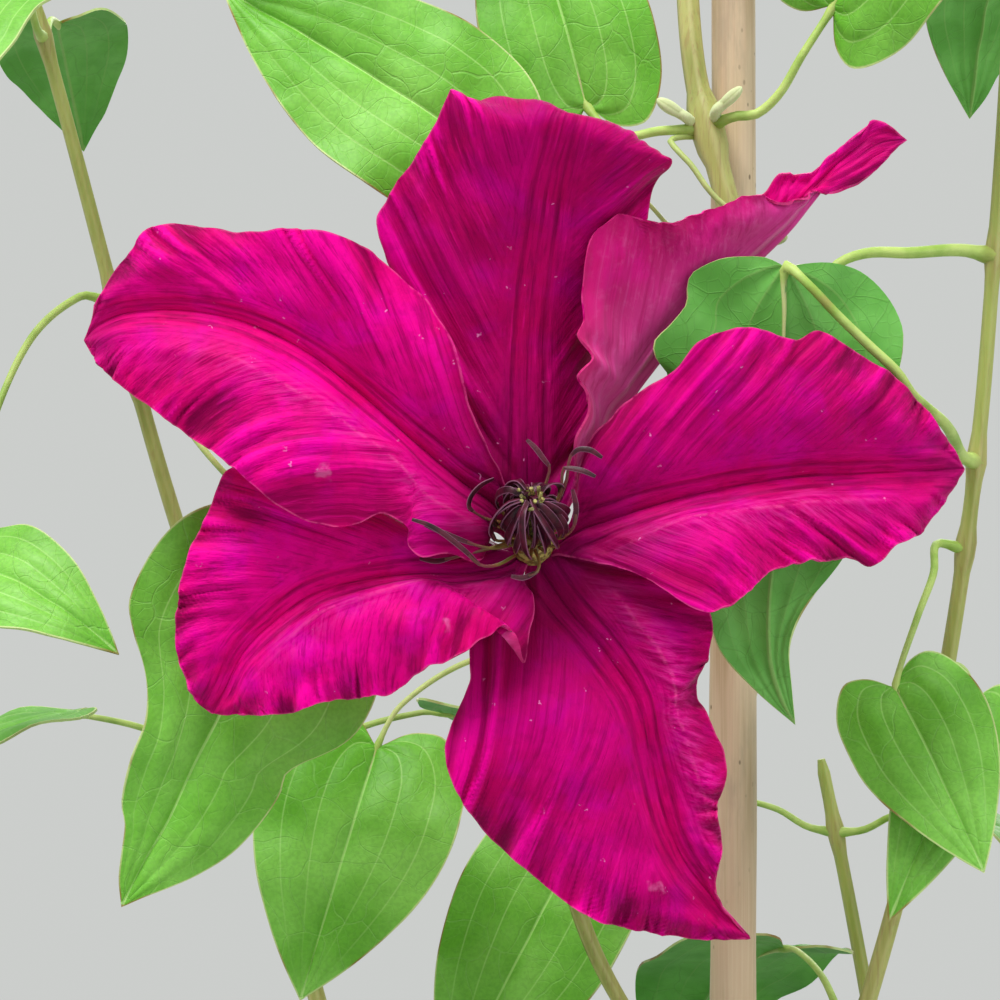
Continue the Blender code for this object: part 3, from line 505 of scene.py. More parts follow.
def grit():
    finish = Finish("grit", Specular_IOR_Level=0.3)
    cloud = finish.grain(finish.place(), 1.5)
    colour = finish.mix(cloud, rgb(190, 184, 170), rgb(238, 234, 224))
    relief = finish.bump(finish.grain(finish.place(), 0.4), 0.15)
    return finish.dress(Base_Color=colour, Roughness=cloud * 0.2 + 0.7, Normal=relief)


def chip(shape, place, sizes, chance, finish):
    """A small rough lump with its own sizes and turn."""
    turn = Matrix.Rotation(chance.uniform(0, math.tau), 4, "Z")
    tilt = Matrix.Rotation(chance.gauss(0, 0.3), 4, "X")
    made = bmesh.ops.create_icosphere(shape, subdivisions=1, radius=1.0)["verts"]
    for vert in made:
        vert.co *= chance.uniform(0.75, 1.15)
        vert.co = Vector([a * b * MM for a, b in zip(vert.co, sizes)])
    bmesh.ops.transform(shape, verts=made, matrix=Matrix.Translation(place * MM) @ turn @ tilt)
    for face in {face for vert in made for face in vert.link_faces}:
        face.material_index = finish


def on_soil(chance, margin):
    angle = chance.uniform(0, math.tau)
    reach = (SOIL_RADIUS - margin) * math.sqrt(chance.random())
    x, y = reach * math.cos(angle), reach * math.sin(angle)
    return Vector((x, y, soil_height(x, y)))


def compost():
    chance = random.Random(11)
    shape = bmesh.new()
    bmesh.ops.create_grid(shape, x_segments=SOIL_CELLS, y_segments=SOIL_CELLS, size=1.0)
    for vert in shape.verts:
        x, y = vert.co.x, vert.co.y
        x, y = x * math.sqrt(1 - y * y / 2), y * math.sqrt(1 - x * x / 2)
        x, y = x * SOIL_RADIUS, y * SOIL_RADIUS
        vert.co = Vector((x, y, soil_height(x, y))) * MM
    rim = [edge for edge in shape.edges if edge.is_boundary]
    walled = bmesh.ops.extrude_edge_only(shape, edges=rim)["geom"]
    foot_share = (POT_FOOT_RADIUS - POT_WALL - 1.2) / SOIL_RADIUS
    for vert in walled:
        if isinstance(vert, bmesh.types.BMVert):
            vert.co.x *= foot_share
            vert.co.y *= foot_share
            vert.co.z = SOIL_FOOT * MM
    bmesh.ops.holes_fill(shape, edges=[edge for edge in shape.edges if edge.is_boundary])
    bmesh.ops.recalc_face_normals(shape, faces=shape.faces)
    for _ in range(BARK_COUNT):
        long = chance.uniform(0.9, 3.6) * chance.uniform(0.6, 1.2)
        sizes = (long, long * chance.uniform(0.35, 0.8), long * chance.uniform(0.15, 0.35))
        chip(shape, on_soil(chance, 5), sizes, chance, 1)
    for _ in range(GRIT_COUNT):
        long = chance.uniform(0.5, 1.4)
        chip(shape, on_soil(chance, 5), (long, long * 0.85, long * 0.7), chance, 2)
    for _ in range(FIBRE_COUNT):
        long = chance.uniform(3.0, 9.0)
        chip(shape, on_soil(chance, 12), (long, 0.28, 0.28), chance, 1)
    finishes = [peat(), bark(), grit()]
    piece("compost_peat", mesh_of(shape, "compost_peat"), ["compost"], finishes)


compost()


# Cane. One bamboo cane, pushed down into the pot. It has a raised ring with a scar at each of
# its joints, fine lines along it, grey weathering, and a hollow sawn end.

CANE_FOOT_RADIUS = 4.6
CANE_TOP_RADIUS = 3.3
CANE_FOOT, CANE_TOP = (corner.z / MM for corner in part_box("cane"))
CANE_JOINTS = (96.0, 205.0, 334.0, 474.0, 606.0)
CANE_RING, CANE_WAIST = 0.085, 0.05
CANE_SIDES = 40
CANE_STEP = 4.0
CANE_HOLLOW = 1.3


def cane_radius(height):
    share = (height - CANE_FOOT) / (CANE_TOP - CANE_FOOT)
    radius = CANE_FOOT_RADIUS + (CANE_TOP_RADIUS - CANE_FOOT_RADIUS) * share
    for joint in CANE_JOINTS:
        off = height - joint
        ring = CANE_RING * math.exp(-((off / 1.5) ** 2))
        waist = CANE_WAIST * math.exp(-(((off + 3.6) / 1.4) ** 2))
        radius *= 1 + ring - waist
    return radius


def bamboo():
    finish = Finish("bamboo", Specular_IOR_Level=0.35)
    lines = finish.grain(finish.place((1, 1, 0.012)), 0.35, 3.0)
    streak = finish.grain(finish.place((1, 1, 0.05)), 2.4, 3.0)
    cloud = finish.grain(finish.place((1, 1, 0.3)), 16.0, 4.0)
    near = finish.attribute("lie").parts()[0]
    colour = finish.mix(cloud.step(0.3, 0.7), rgb(202, 172, 142), rgb(218, 194, 164))
    colour = finish.mix(streak.step(0.45, 0.75) * 0.6, colour, rgb(168, 140, 98))
    colour = finish.mix(lines.step(0.35, 0.65) * 0.3, colour, rgb(226, 210, 176))
    specks = finish.cells(finish.place((1, 1, 0.5)), 2.2)
    colour = finish.mix(specks.step(0.13, 0.06) * cloud.step(0.4, 0.6), colour, rgb(96, 74, 50))
    grey = finish.grain(finish.place((1, 1, 0.2)), 7.0, 5.0, 0.7).step(0.5, 0.75) * 0.5
    colour = finish.mix(grey, colour, rgb(150, 140, 120))
    colour = finish.mix(near * 0.75, colour, rgb(112, 84, 54))
    relief = finish.bump(lines, 0.06)
    relief = finish.bump(near, 0.25, 0.6, relief)
    rough = 0.42 + grey * 0.3 + streak * 0.15
    return finish.dress(Base_Color=colour, Roughness=rough, Normal=relief)


def cane():
    count = int((CANE_TOP - CANE_FOOT) / CANE_STEP)
    heights = [CANE_FOOT + CANE_STEP * step for step in range(1, count)]
    for joint in CANE_JOINTS:
        heights += [joint + rise for rise in (-5, -4.2, -3.4, -2.6, -1.8, -1, -0.4, 0.3, 1, 1.8, 2.6)]
    outside = [(cane_radius(height), height) for height in sorted(heights, reverse=True)]
    top = CANE_TOP_RADIUS
    profile = [(0, CANE_TOP - 7), (CANE_HOLLOW, CANE_TOP - 6.6), (CANE_HOLLOW, CANE_TOP - 0.3)]
    profile += [(CANE_HOLLOW + 0.3, CANE_TOP), (top - 0.3, CANE_TOP), (top, CANE_TOP - 0.3)]
    profile += [*outside, (CANE_FOOT_RADIUS, CANE_FOOT), (0, CANE_FOOT)]
    shape = spun(profile, CANE_SIDES)
    lie = shape.verts.layers.float_vector.new("lie")
    for vert in shape.verts:
        height = vert.co.z / MM
        scar = 0.0
        for joint in CANE_JOINTS:
            scar += math.exp(-(((height - joint + 1.9) / 0.8) ** 2))
        vert[lie] = (min(1.0, scar), 0, 0)
        out = Vector((vert.co.x, vert.co.y, 0))
        lump = 0.08 * noise.noise(Vector((vert.co.x, vert.co.y, vert.co.z * 0.1)) / MM / 3)
        vert.co += out * lump
    piece("cane_bamboo", mesh_of(shape, "cane_bamboo"), ["cane"], [bamboo()])


cane()


# Vine stems. Thin woody stems, ridged along their length, olive where they are young and brown
# lower down, with a swollen joint wherever leaves grow. The main one winds up the cane.

STEM_FOOT = 86.0
STEM_OFF_CANE = 7.5
STEM_FOOT_OFF_CANE = 14.0
STEM_MEETS_CANE, STEM_MEETING_RUN = 230, 80
WINDING_STEP = 12
STEM_SIDES = 24
STEM_RIDGES = 6
STEM_STEP = 2.5
JOINT_SWELL = 0.42
JOINT_REACH = 2.6
SHOOT_JOINT = 352

# Where the main stem stands round the cane, in degrees from +X, at each height.
ROUND_CANE = (
    (STEM_FOOT, 120), (150, 118), (190, 140), (240, 160), (290, 128), (345, 98), (404, 92),
    (436, 80), (462, 25), (482, -25), (502, -66), (523.5, -110), (538, -144), (562, -190),
    (590, -222), (620, -246), (654, -262),
)


class Line:
    """A smooth curve through points, run along evenly by its length."""

    def __init__(self, points):
        self.points = [Vector(point) for point in points]
        self.marks = [0.0]
        for first, second in zip(self.points, self.points[1:]):
            self.marks.append(self.marks[-1] + (second - first).length)
        self.length = self.marks[-1]
        last = len(self.points) - 1
        self.slopes = []
        for index in range(last + 1):
            low, high = max(index - 1, 0), min(index + 1, last)
            run = self.marks[high] - self.marks[low]
            self.slopes.append((self.points[high] - self.points[low]) / run)

    def at(self, share):
        place = min(max(share, 0.0), 1.0) * self.length
        index = 0
        while index < len(self.marks) - 2 and self.marks[index + 1] < place:
            index += 1
        run = self.marks[index + 1] - self.marks[index]
        step = (place - self.marks[index]) / run
        ease = step * step * (3 - 2 * step)
        leave = step * (1 - step) ** 2 * run
        arrive = step * step * (step - 1) * run
        between = self.points[index].lerp(self.points[index + 1], ease)
        return between + self.slopes[index] * leave + self.slopes[index + 1] * arrive

    def sampled(self, count):
        return [self.at(index / (count - 1)) for index in range(count)]


def tube(shape, points, radii, sides, finish=0, ridges=0, ridge=0.0, flat=1.0, facing=None):
    """Draws a closed tube along points, ring by ring. Each point keeps where it lies: its
    ridge's height, how far along the tube it is in millimetres, and the tube's radius."""
    lie = shape.verts.layers.float_vector["lie"]
    angle_of = shape.verts.layers.float["angle"]
    ahead = (points[1] - points[0]).normalized()
    side = Vector(facing) if facing else ahead.orthogonal()
    ring = bmesh.ops.create_circle(shape, segments=sides, radius=1.0)["verts"]
    for vert in ring:
        vert[angle_of] = math.atan2(vert.co.y, vert.co.x)
    edges = list({edge for vert in ring for edge in vert.link_edges})
    faces = [bmesh.ops.contextual_create(shape, geom=edges)["faces"][0]]
    along = 0.0
    last = len(points) - 1
    for index, place in enumerate(points):
        if index:
            made = bmesh.ops.extrude_edge_only(shape, edges=edges)["geom"]
            ring = [item for item in made if isinstance(item, bmesh.types.BMVert)]
            faces += [item for item in made if isinstance(item, bmesh.types.BMFace)]
            edges = [
                item for item in made
                if isinstance(item, bmesh.types.BMEdge) and item.is_boundary
            ]
            along += (place - points[index - 1]).length
        ahead = (points[min(index + 1, last)] - points[max(index - 1, 0)]).normalized()
        side = (side - ahead * ahead.dot(side)).normalized()
        other = ahead.cross(side)
        for vert in ring:
            angle = vert[angle_of]
            crest = 0.5 + 0.5 * math.cos(ridges * angle) if ridges else 0.5
            radius = radii[index] * (1 + ridge * (crest - 0.5))
            out = side * math.cos(angle) + other * math.sin(angle) * flat
            vert.co = (place + out * radius) * MM
            vert[lie] = (crest, along, radii[index])
    faces += bmesh.ops.contextual_create(shape, geom=edges)["faces"]
    bmesh.ops.recalc_face_normals(shape, faces=faces)
    for face in faces:
        face.material_index = finish


def fresh():
    """An empty shape whose points can keep where they lie on their piece."""
    shape = bmesh.new()
    shape.verts.layers.float_vector.new("lie")
    shape.verts.layers.float_vector.new("flat")
    shape.verts.layers.float.new("angle")
    return shape


class Stem:
    """A tapering stem whose rings rise from one to the next."""

    def __init__(self, rings, foot_radius, top_radius):
        self.rings = rings
        last = len(rings) - 1
        self.radii = [
            foot_radius + (top_radius - foot_radius) * index / last for index in range(last + 1)
        ]
        self.joints = set()

    def at(self, height):
        """The stem's centre and radius at a height."""
        index = 0
        while index < len(self.rings) - 2 and self.rings[index + 1].z < height:
            index += 1
        low, high = self.rings[index], self.rings[index + 1]
        share = (height - low.z) / (high.z - low.z)
        radius = self.radii[index] + (self.radii[index + 1] - self.radii[index]) * share
        return low.lerp(high, share), radius

    def make(self, name, node):
        """The stem, with a swelling at each height that a leaf or shoot has asked for."""
        line = Line(self.rings)
        points = line.sampled(round(line.length / STEM_STEP))
        radii = []
        for index, point in enumerate(points):
            share = index / (len(points) - 1)
            radius = self.radii[0] + (self.radii[-1] - self.radii[0]) * share
            swell = sum(math.exp(-(((point.z - z) / JOINT_REACH) ** 2)) for z in self.joints)
            radii.append(radius * (0.97 + JOINT_SWELL * min(1.0, swell)))
        radii[-1] *= 0.6
        shape = fresh()
        tube(shape, points, radii, STEM_SIDES, 0, STEM_RIDGES, 0.13)
        piece(name, mesh_of(shape, name), [node], [VINE])


def round_cane(height, degrees):
    apart = max(0, (STEM_MEETS_CANE - height) / STEM_MEETING_RUN)
    off = STEM_OFF_CANE + (STEM_FOOT_OFF_CANE - STEM_OFF_CANE) * apart
    off = min(off, STEM_FOOT_OFF_CANE)
    angle = math.radians(degrees)
    return Vector((off * math.cos(angle), off * math.sin(angle), height))


def wound(turns):
    """Points close enough together that the stem keeps off the cane between them."""
    points = []
    for (low, start), (high, end) in zip(turns, turns[1:]):
        count = max(1, round((high - low) / WINDING_STEP))
        for index in range(count):
            share = index / count
            points.append(round_cane(low + (high - low) * share, start + (end - start) * share))
    return points + [round_cane(*turns[-1])]


MAIN = Stem(wound(ROUND_CANE), 3.1, 1.6)
LEFT = Stem(Line((
    (-22, 10, STEM_FOOT), (-24, 12, 200), (-38, 20, 270), (-58, 27, 345), (-78, 27, 420),
    (-96, 22, 480), (-108, 14, 528), (-116, 6, 560),
)).sampled(18), 2.3, 1.1)
RIGHT = Stem(Line((
    (8.9, 7.4, 350), (17, 6, 372), (30, 2, 420), (38, -3, 470), (42, -6, 520), (45, -4, 566),
)).sampled(12), 1.5, 1.0)
BACK = Stem(Line((
    (20, 17, STEM_FOOT), (22, 20, 190), (30, 34, 245), (36, 50, 310), (30, 60, 372),
    (20, 60, 425),
)).sampled(14), 2.2, 1.1)
MAIN.joints.add(SHOOT_JOINT)


def vine():
    finish = Finish("vine_stem", Specular_IOR_Level=0.4, Subsurface_Weight=0.05)
    spot = finish.place()
    ridge, _, girth = finish.attribute("lie").parts()
    height = spot.parts()[2]
    cloud = finish.grain(finish.place((1, 1, 0.2)), 5.0, 4.0)
    lines = finish.grain(finish.place((1, 1, 0.04)), 0.5, 3.0)
    old = (height * -1.0 + cloud * 110).step(-330.0, -130.0)
    young = finish.mix(cloud.step(0.35, 0.7), rgb(176, 176, 104), rgb(128, 138, 66))
    young = finish.mix(ridge.step(0.3, 0.9) * 0.45, young, rgb(190, 184, 128))
    young = finish.mix(lines.step(0.5, 0.7) * 0.35, young, rgb(140, 96, 72))
    aged = finish.mix(lines.step(0.35, 0.65), rgb(118, 92, 62), rgb(168, 142, 104))
    aged = finish.mix(ridge.step(0.5, 0.1) * 0.6, aged, rgb(78, 58, 40))
    colour = finish.mix(old, young, aged)
    colour = finish.mix(girth.step(1.5, 0.9) * 0.6, colour, rgb(150, 176, 84))
    relief = finish.bump(lines, 0.12)
    return finish.dress(Base_Color=colour, Roughness=0.5 + old * 0.3, Normal=relief)


VINE = vine()


# Leaves. Each is a thin blade, or two or three, on a long wiry stalk. Five veins run from the
# blade's foot to its tip, sunk in its upper face. One stalk winds round the cane.

BLADE_THICKNESS = 0.42
NEAR_BLADE = (66, 48)
FAR_BLADE = (40, 26)
STALK_SIDES = 10
STALK_RADIUS = 0.72
STALK_STEP = 1.4
STALK_GAP = 0.45
SIDE_VEINS = (0.36, 0.70)
VEIN_WIDTH, VEIN_DEPTH = 0.5, 0.22
QUILT = 0.25
MARGIN_DROOP, MARGIN_WAVE, MARGIN_FRILL = 0.16, 0.075, 0.05

# The edge of a leaf blade of length 1, from its foot round one lobe to its tip, and how far
# it reaches out from the rib.
LEAF_EDGE_REACH = 0.3
LEAF_EDGE = Line((
    (0, 0, 0), (0.09, -0.10, 0), (0.19, -0.11, 0), (0.275, 0.02, 0), (0.3, 0.2, 0),
    (0.29, 0.38, 0), (0.235, 0.58, 0), (0.14, 0.78, 0), (0.055, 0.92, 0), (0, 1, 0),
))


def veins_of(finish, lie, flat):
    """How much of a vein shows at each place of a blade: the long veins, the net, the fine net."""
    across, share, half = lie.parts()
    reach = across.size()
    faded = share.step(1.02, 0.5)
    drawn = (reach * half).step(0.34, 0.12)
    for place in SIDE_VEINS:
        off = (reach - place).size() * half
        drawn = drawn.larger(off.step(0.2, 0.05) * faded * 0.5)
    bent = finish.bent(flat, 5.0, 7.0)
    net = finish.meshes(bent, 7.0).step(0.022, 0.006)
    fine = finish.meshes(bent, 1.9).step(0.07, 0.02)
    return drawn, net, fine


def leaf_face():
    finish = Finish("leaf_face", Specular_IOR_Level=0.4, Subsurface_Weight=0.12)
    finish.dress(Subsurface_Radius=(0.5, 1.0, 0.15), Subsurface_Scale=0.8 * MM)
    lie, flat = finish.attribute("lie"), finish.attribute("flat")
    across, _, half = lie.parts()
    age = flat.parts()[2]
    drawn, net, fine = veins_of(finish, lie, flat)
    cloud = finish.grain(finish.place(), 15.0, 3.0)
    patch = finish.grain(finish.place(), 5.0, 3.0, 0.6)
    grain = finish.grain(finish.place(), 0.6, 1.5)
    young = finish.mix(cloud.step(0.3, 0.7), rgb(142, 212, 84), rgb(106, 184, 38))
    grown = finish.mix(cloud.step(0.3, 0.7), rgb(78, 142, 42), rgb(48, 108, 20))
    colour = finish.mix(age, young, grown)
    colour = finish.mix(patch.step(0.5, 0.8) * 0.35, colour, rgb(82, 148, 14))
    colour = finish.mix(grain.step(0.35, 0.7) * 0.16, colour, rgb(40, 98, 12))
    colour = finish.mix(fine * 0.10, colour, rgb(128, 190, 84))
    colour = finish.mix(net * 0.30, colour, rgb(140, 200, 96))
    colour = finish.mix(drawn * 0.75, colour, rgb(182, 226, 134))
    edge = ((1 - across.size()) * half).step(0.3, 0.12)
    rim = finish.mix(cloud.step(0.5, 0.62), rgb(204, 214, 150), rgb(150, 96, 56))
    colour = finish.mix(edge * 0.75, colour, rim)
    relief = finish.bump(1 - fine, 0.04, 0.6)
    relief = finish.bump(1 - net, 0.10, 0.7, relief)
    relief = finish.bump(grain, 0.03, 0.6, relief)
    rough = 0.44 + patch * 0.16
    return finish.dress(Base_Color=colour, Roughness=rough, Normal=relief)


def leaf_back():
    finish = Finish("leaf_back", Specular_IOR_Level=0.3, Subsurface_Weight=0.12)
    finish.dress(Subsurface_Radius=(0.5, 1.0, 0.15), Subsurface_Scale=0.8 * MM)
    lie, flat = finish.attribute("lie"), finish.attribute("flat")
    drawn, net, fine = veins_of(finish, lie, flat)
    cloud = finish.grain(finish.place(), 9.0, 3.0)
    colour = finish.mix(cloud.step(0.3, 0.7), rgb(110, 180, 82), rgb(86, 156, 58))
    colour = finish.mix(fine * 0.12, colour, rgb(84, 132, 58))
    colour = finish.mix(net * 0.2, colour, rgb(84, 128, 52))
    colour = finish.mix(drawn * 0.45, colour, rgb(150, 176, 104))
    relief = finish.bump(fine, 0.03, 0.6)
    relief = finish.bump(net.larger(drawn), 0.07, 0.6, relief)
    return finish.dress(Base_Color=colour, Roughness=0.5 + cloud * 0.15, Normal=relief)


def leaf_stalk():
    finish = Finish("leaf_stalk", Specular_IOR_Level=0.4, Subsurface_Weight=0.15)
    finish.dress(Subsurface_Radius=(0.6, 1.0, 0.2), Subsurface_Scale=0.6 * MM)
    thick = finish.attribute("lie").parts()[2]
    cloud = finish.grain(finish.place(), 7.0, 3.0)
    lines = finish.grain(finish.place(), 0.5, 2.0)
    colour = finish.mix(cloud.step(0.35, 0.7), rgb(186, 208, 116), rgb(140, 176, 70))
    colour = finish.mix(cloud.step(0.6, 0.8) * 0.5, colour, rgb(168, 128, 88))
    colour = finish.mix(thick.step(1.1, 1.5) * 0.4, colour, rgb(142, 122, 62))
    colour = finish.mix(thick.step(0.6, 0.4) * 0.5, colour, rgb(212, 204, 160))
    relief = finish.bump(lines, 0.06)
    return finish.dress(Base_Color=colour, Roughness=0.45 + lines * 0.15, Normal=relief)


LEAF_FINISHES = [leaf_face(), leaf_back(), leaf_stalk()]


class Blade:
    """A leaf blade from its foot to its tip, its upper face turned a given way."""

    def __init__(self, foot, tip, facing, width, sag=0.08, bend=0.0, fold=0.22, seed=0, age=0.2):
        self.foot, self.tip = Vector(foot), Vector(tip)
        self.length = (self.tip - self.foot).length
        self.width = width
        self.fold = fold
        self.age = age
        self.phase = random.Random(seed).uniform(0, 2 * math.pi)
        forward = (self.tip - self.foot).normalized()
        self.up = (Vector(facing) - forward * forward.dot(Vector(facing))).normalized()
        self.side = forward.cross(self.up)
        self.arch = (self.up * sag + self.side * bend) * self.length
        self.rows = {}

    def rib(self, share):
        return self.foot.lerp(self.tip, share) + self.arch * 4 * share * (1 - share)

    def vein(self, along):
        """A point on the underside of the blade, close to its rib."""
        return self.rib(along) - self.up * 0.25 + self.side * 0.07

    def row(self, share):
        """What all the places at one share of the way to the tip have in common: how far along
        the rib they are, the way ahead and the way up, and for each side how far its margin is
        from the rib, in which direction, and by how much it runs ahead."""
        if share not in self.rows:
            edge = LEAF_EDGE.at(share)
            along = share**1.6
            half = self.width / 2 * edge.x / LEAF_EDGE_REACH
            ahead = (self.rib(along + 0.02) - self.rib(along - 0.02)).normalized()
            side = (self.side - ahead * ahead.dot(self.side)).normalized()
            slip = (edge.y - along) * self.length
            sides = ((half, -side, slip), (half, side, slip))
            self.rows[share] = (along, ahead, side.cross(ahead), sides)
        return self.rows[share]

    def point(self, share, across):
        along, ahead, up, sides = self.row(share)
        half, outwards, slip = sides[0 if across < 0 else 1]
        reach = abs(across)
        lift = self.fold * half * reach - MARGIN_DROOP * half * reach**2
        wave = MARGIN_WAVE * half * reach**2 * math.sin(9 * share + self.phase + 1.6 * across)
        frill = MARGIN_FRILL * half * reach**3 * math.sin(23 * share + 2 * self.phase)
        body = min(1.0, half / 4)
        groove = math.exp(-((reach * half / VEIN_WIDTH) ** 2)) * body
        for place in SIDE_VEINS:
            off = (reach - place) * half / VEIN_WIDTH
            groove += math.exp(-off * off) * body * 0.7 * (1 - share)
        quilt = math.sin(math.pi * min(reach / SIDE_VEINS[0], 1.0))
        if reach > SIDE_VEINS[0]:
            quilt = math.sin(math.pi * (reach - SIDE_VEINS[0]) / (SIDE_VEINS[1] - SIDE_VEINS[0]))
        spot = Vector((half * across, along * self.length, self.phase * 9))
        pucker = (noise.noise(spot / 9) * 0.8 + noise.noise(spot / 3.5) * 0.22) * body
        raise_by = lift + wave + frill + pucker - VEIN_DEPTH * groove + QUILT * max(quilt, 0) * body
        out = outwards * half * reach + ahead * slip * reach**1.4
        return self.rib(along) + out + up * raise_by

    def mesh(self, rows, columns):
        """The blade, its upper face and its underside each with a finish of its own."""
        shape = fresh()
        bmesh.ops.create_grid(shape, x_segments=rows, y_segments=columns, size=1.0)
        lie = shape.verts.layers.float_vector["lie"]
        flat = shape.verts.layers.float_vector["flat"]
        for vert in shape.verts:
            share, across = (vert.co.x + 1) / 2, -vert.co.y
            along, _, _, sides = self.row(share)
            half, _, slip = sides[0 if across < 0 else 1]
            vert.co = self.point(share, across) * MM
            vert[lie] = (across, share, half)
            y = along * self.length + slip * abs(across) ** 1.4
            vert[flat] = (half * across, y, self.age)
        bmesh.ops.remove_doubles(shape, verts=shape.verts, dist=0.02 * MM)
        made = loose(mesh_of(shape, "blade"))
        made.data.materials.append(LEAF_FINISHES[0])
        made.data.materials.append(LEAF_FINISHES[1])
        thick = made.modifiers.new("thickness", "SOLIDIFY")
        thick.thickness = BLADE_THICKNESS * MM
        thick.offset = 0.0
        thick.material_offset = 1
        return baked(made)


def seen(right, up, behind):
    """The point that lies behind the bloom's plane, where the eye sees a place of that plane
    right of and above the bloom's middle."""
    place = BLOOM + Vector((right, 0, up))
    return EYE + (place - EYE) * (1 + behind / (BLOOM.y - EYE.y))


class DrawnBlade(Blade):
    """A blade whose rib and margins are given point by point, because a photograph shows them."""

    def __init__(self, rib, left, right, facing, fold=0.1):
        self.lines = [Line([seen(*point) for point in points]) for points in (rib, left, right)]
        ends = self.lines[0].points
        super().__init__(ends[0], ends[-1], facing, width=0, sag=0, fold=fold)

    def rib(self, share):
        return self.lines[0].at(share)

    def row(self, share):
        if share not in self.rows:
            ahead = (self.rib(share + 0.02) - self.rib(share - 0.02)).normalized()
            up = (self.up - ahead * ahead.dot(self.up)).normalized()
            sides = []
            for line in self.lines[1:]:
                out = line.at(share) - self.rib(share)
                slip = out.dot(ahead)
                out -= ahead * slip
                sides.append((out.length, out.normalized(), slip))
            self.rows[share] = (share, ahead, up, sides)
        return self.rows[share]


def tapered(start, end, count):
    """Radii that run evenly from start to end."""
    return [start + (end - start) * index / (count - 1) for index in range(count)]


def leaf(name, petiole, blades, near=True, girth=STALK_RADIUS):
    """A leaf: a thin stalk that runs on under its first blade, and a short one to any other. The
    stalk is thicker where it leaves its stem and where it meets the blade."""
    main = blades[0]
    inside = petiole[0] + (petiole[0] - Vector(petiole[1])).normalized() * 1.4
    end = [main.vein(share) for share in (0.0, 0.10, 0.24)]
    route = Line([inside, *petiole[1:], *end])
    under = (end[2] - end[1]).length + (end[1] - end[0]).length
    count = max(14, round(route.length / STALK_STEP))
    points = route.sampled(count)
    radii = []
    for index in range(count):
        done = route.length * index / (count - 1)
        swell = 0.5 * math.exp(-((done / 2.2) ** 2))
        swell += 0.35 * math.exp(-(((route.length - under - done) / 1.8) ** 2))
        thin = max(0.0, done - route.length + under) / under
        radii.append(girth * (1.0 - 0.45 * done / route.length + swell) * (1 - 0.84 * thin**0.6))
    shape = fresh()
    tube(shape, points, radii, STALK_SIDES, 2)
    for blade in blades[1:]:
        branch = Line([main.vein(0.02), main.vein(0.02).lerp(blade.vein(0), 0.5), blade.vein(0.0),
                       blade.vein(0.14)]).sampled(9)
        tube(shape, branch, tapered(0.7, 0.4, 9), STALK_SIDES, 2)
    for blade in blades:
        mesh = blade.mesh(*(NEAR_BLADE if near else FAR_BLADE))
        shape.from_mesh(mesh)
        bpy.data.meshes.remove(mesh)
    piece(name + "_blade", mesh_of(shape, name + "_blade"), [name], LEAF_FINISHES)


def level(degrees):
    return Vector((math.cos(math.radians(degrees)), math.sin(math.radians(degrees)), 0))


def rim_of(stem, height, degrees):
    """A point just off a stem's side, with a second one straight out from it."""
    stem.joints.add(height)
    centre, radius = stem.at(height)
    run = (stem.at(height + 2)[0] - stem.at(height - 2)[0]).normalized()
    lean = run.dot(level(degrees))
    off = (radius + STALK_GAP + abs(lean)) / math.sqrt(1 - lean**2)
    start = centre + level(degrees) * off
    return [start, start + level(degrees) * 4 + Vector((0, 0, 0.6))]


# Two leaves whose outline the photograph shows: the rib, then the margin on the left and on the
# right of the upper face, each point with how far behind the bloom's plane it lies. The second
# one turns its underside to the eye.
LOWER_LEFT_LEAF = (
    (
        (-37, -2, 14), (-38.5, -9, 14), (-41.5, -17, 13), (-44.5, -24.5, 12), (-46.8, -30.3, 11.5),
        (-51, -38.5, 10.5), (-54.6, -46.4, 10), (-58.2, -52.5, 9), (-61.6, -59.4, 8),
    ),
    (
        (-34.8, 0, 14), (-28, -3, 15), (-23.6, -10.4, 17), (-21.6, -19.4, 18), (-23.4, -27.6, 18),
        (-25.5, -32.1, 17), (-27.9, -34.6, 16), (-31.9, -36.7, 15), (-35.2, -38.2, 13.5),
        (-37, -39.6, 13), (-37.7, -42.2, 12.5), (-39.5, -45.2, 12), (-42.2, -48.5, 11.5),
        (-45.5, -51.6, 11), (-50.4, -54.6, 10), (-54.3, -56.4, 9), (-58.2, -57.9, 8.5),
        (-61.6, -59.4, 8),
    ),
    (
        (-39.3, 1, 13), (-44.6, 1.6, 11), (-49.7, 0.4, 9), (-54.3, -2.6, 8), (-58, -7.4, 7),
        (-60.5, -13.4, 6.5), (-59.9, -18, 6.5), (-58.2, -23.7, 6), (-57.8, -28.5, 6),
        (-58.2, -32.1, 6), (-60.1, -37, 6), (-61.6, -43.7, 6.5), (-61.1, -47, 7),
        (-61.6, -51.3, 7), (-62, -55.2, 7.5), (-61.6, -59.4, 8),
    ),
)
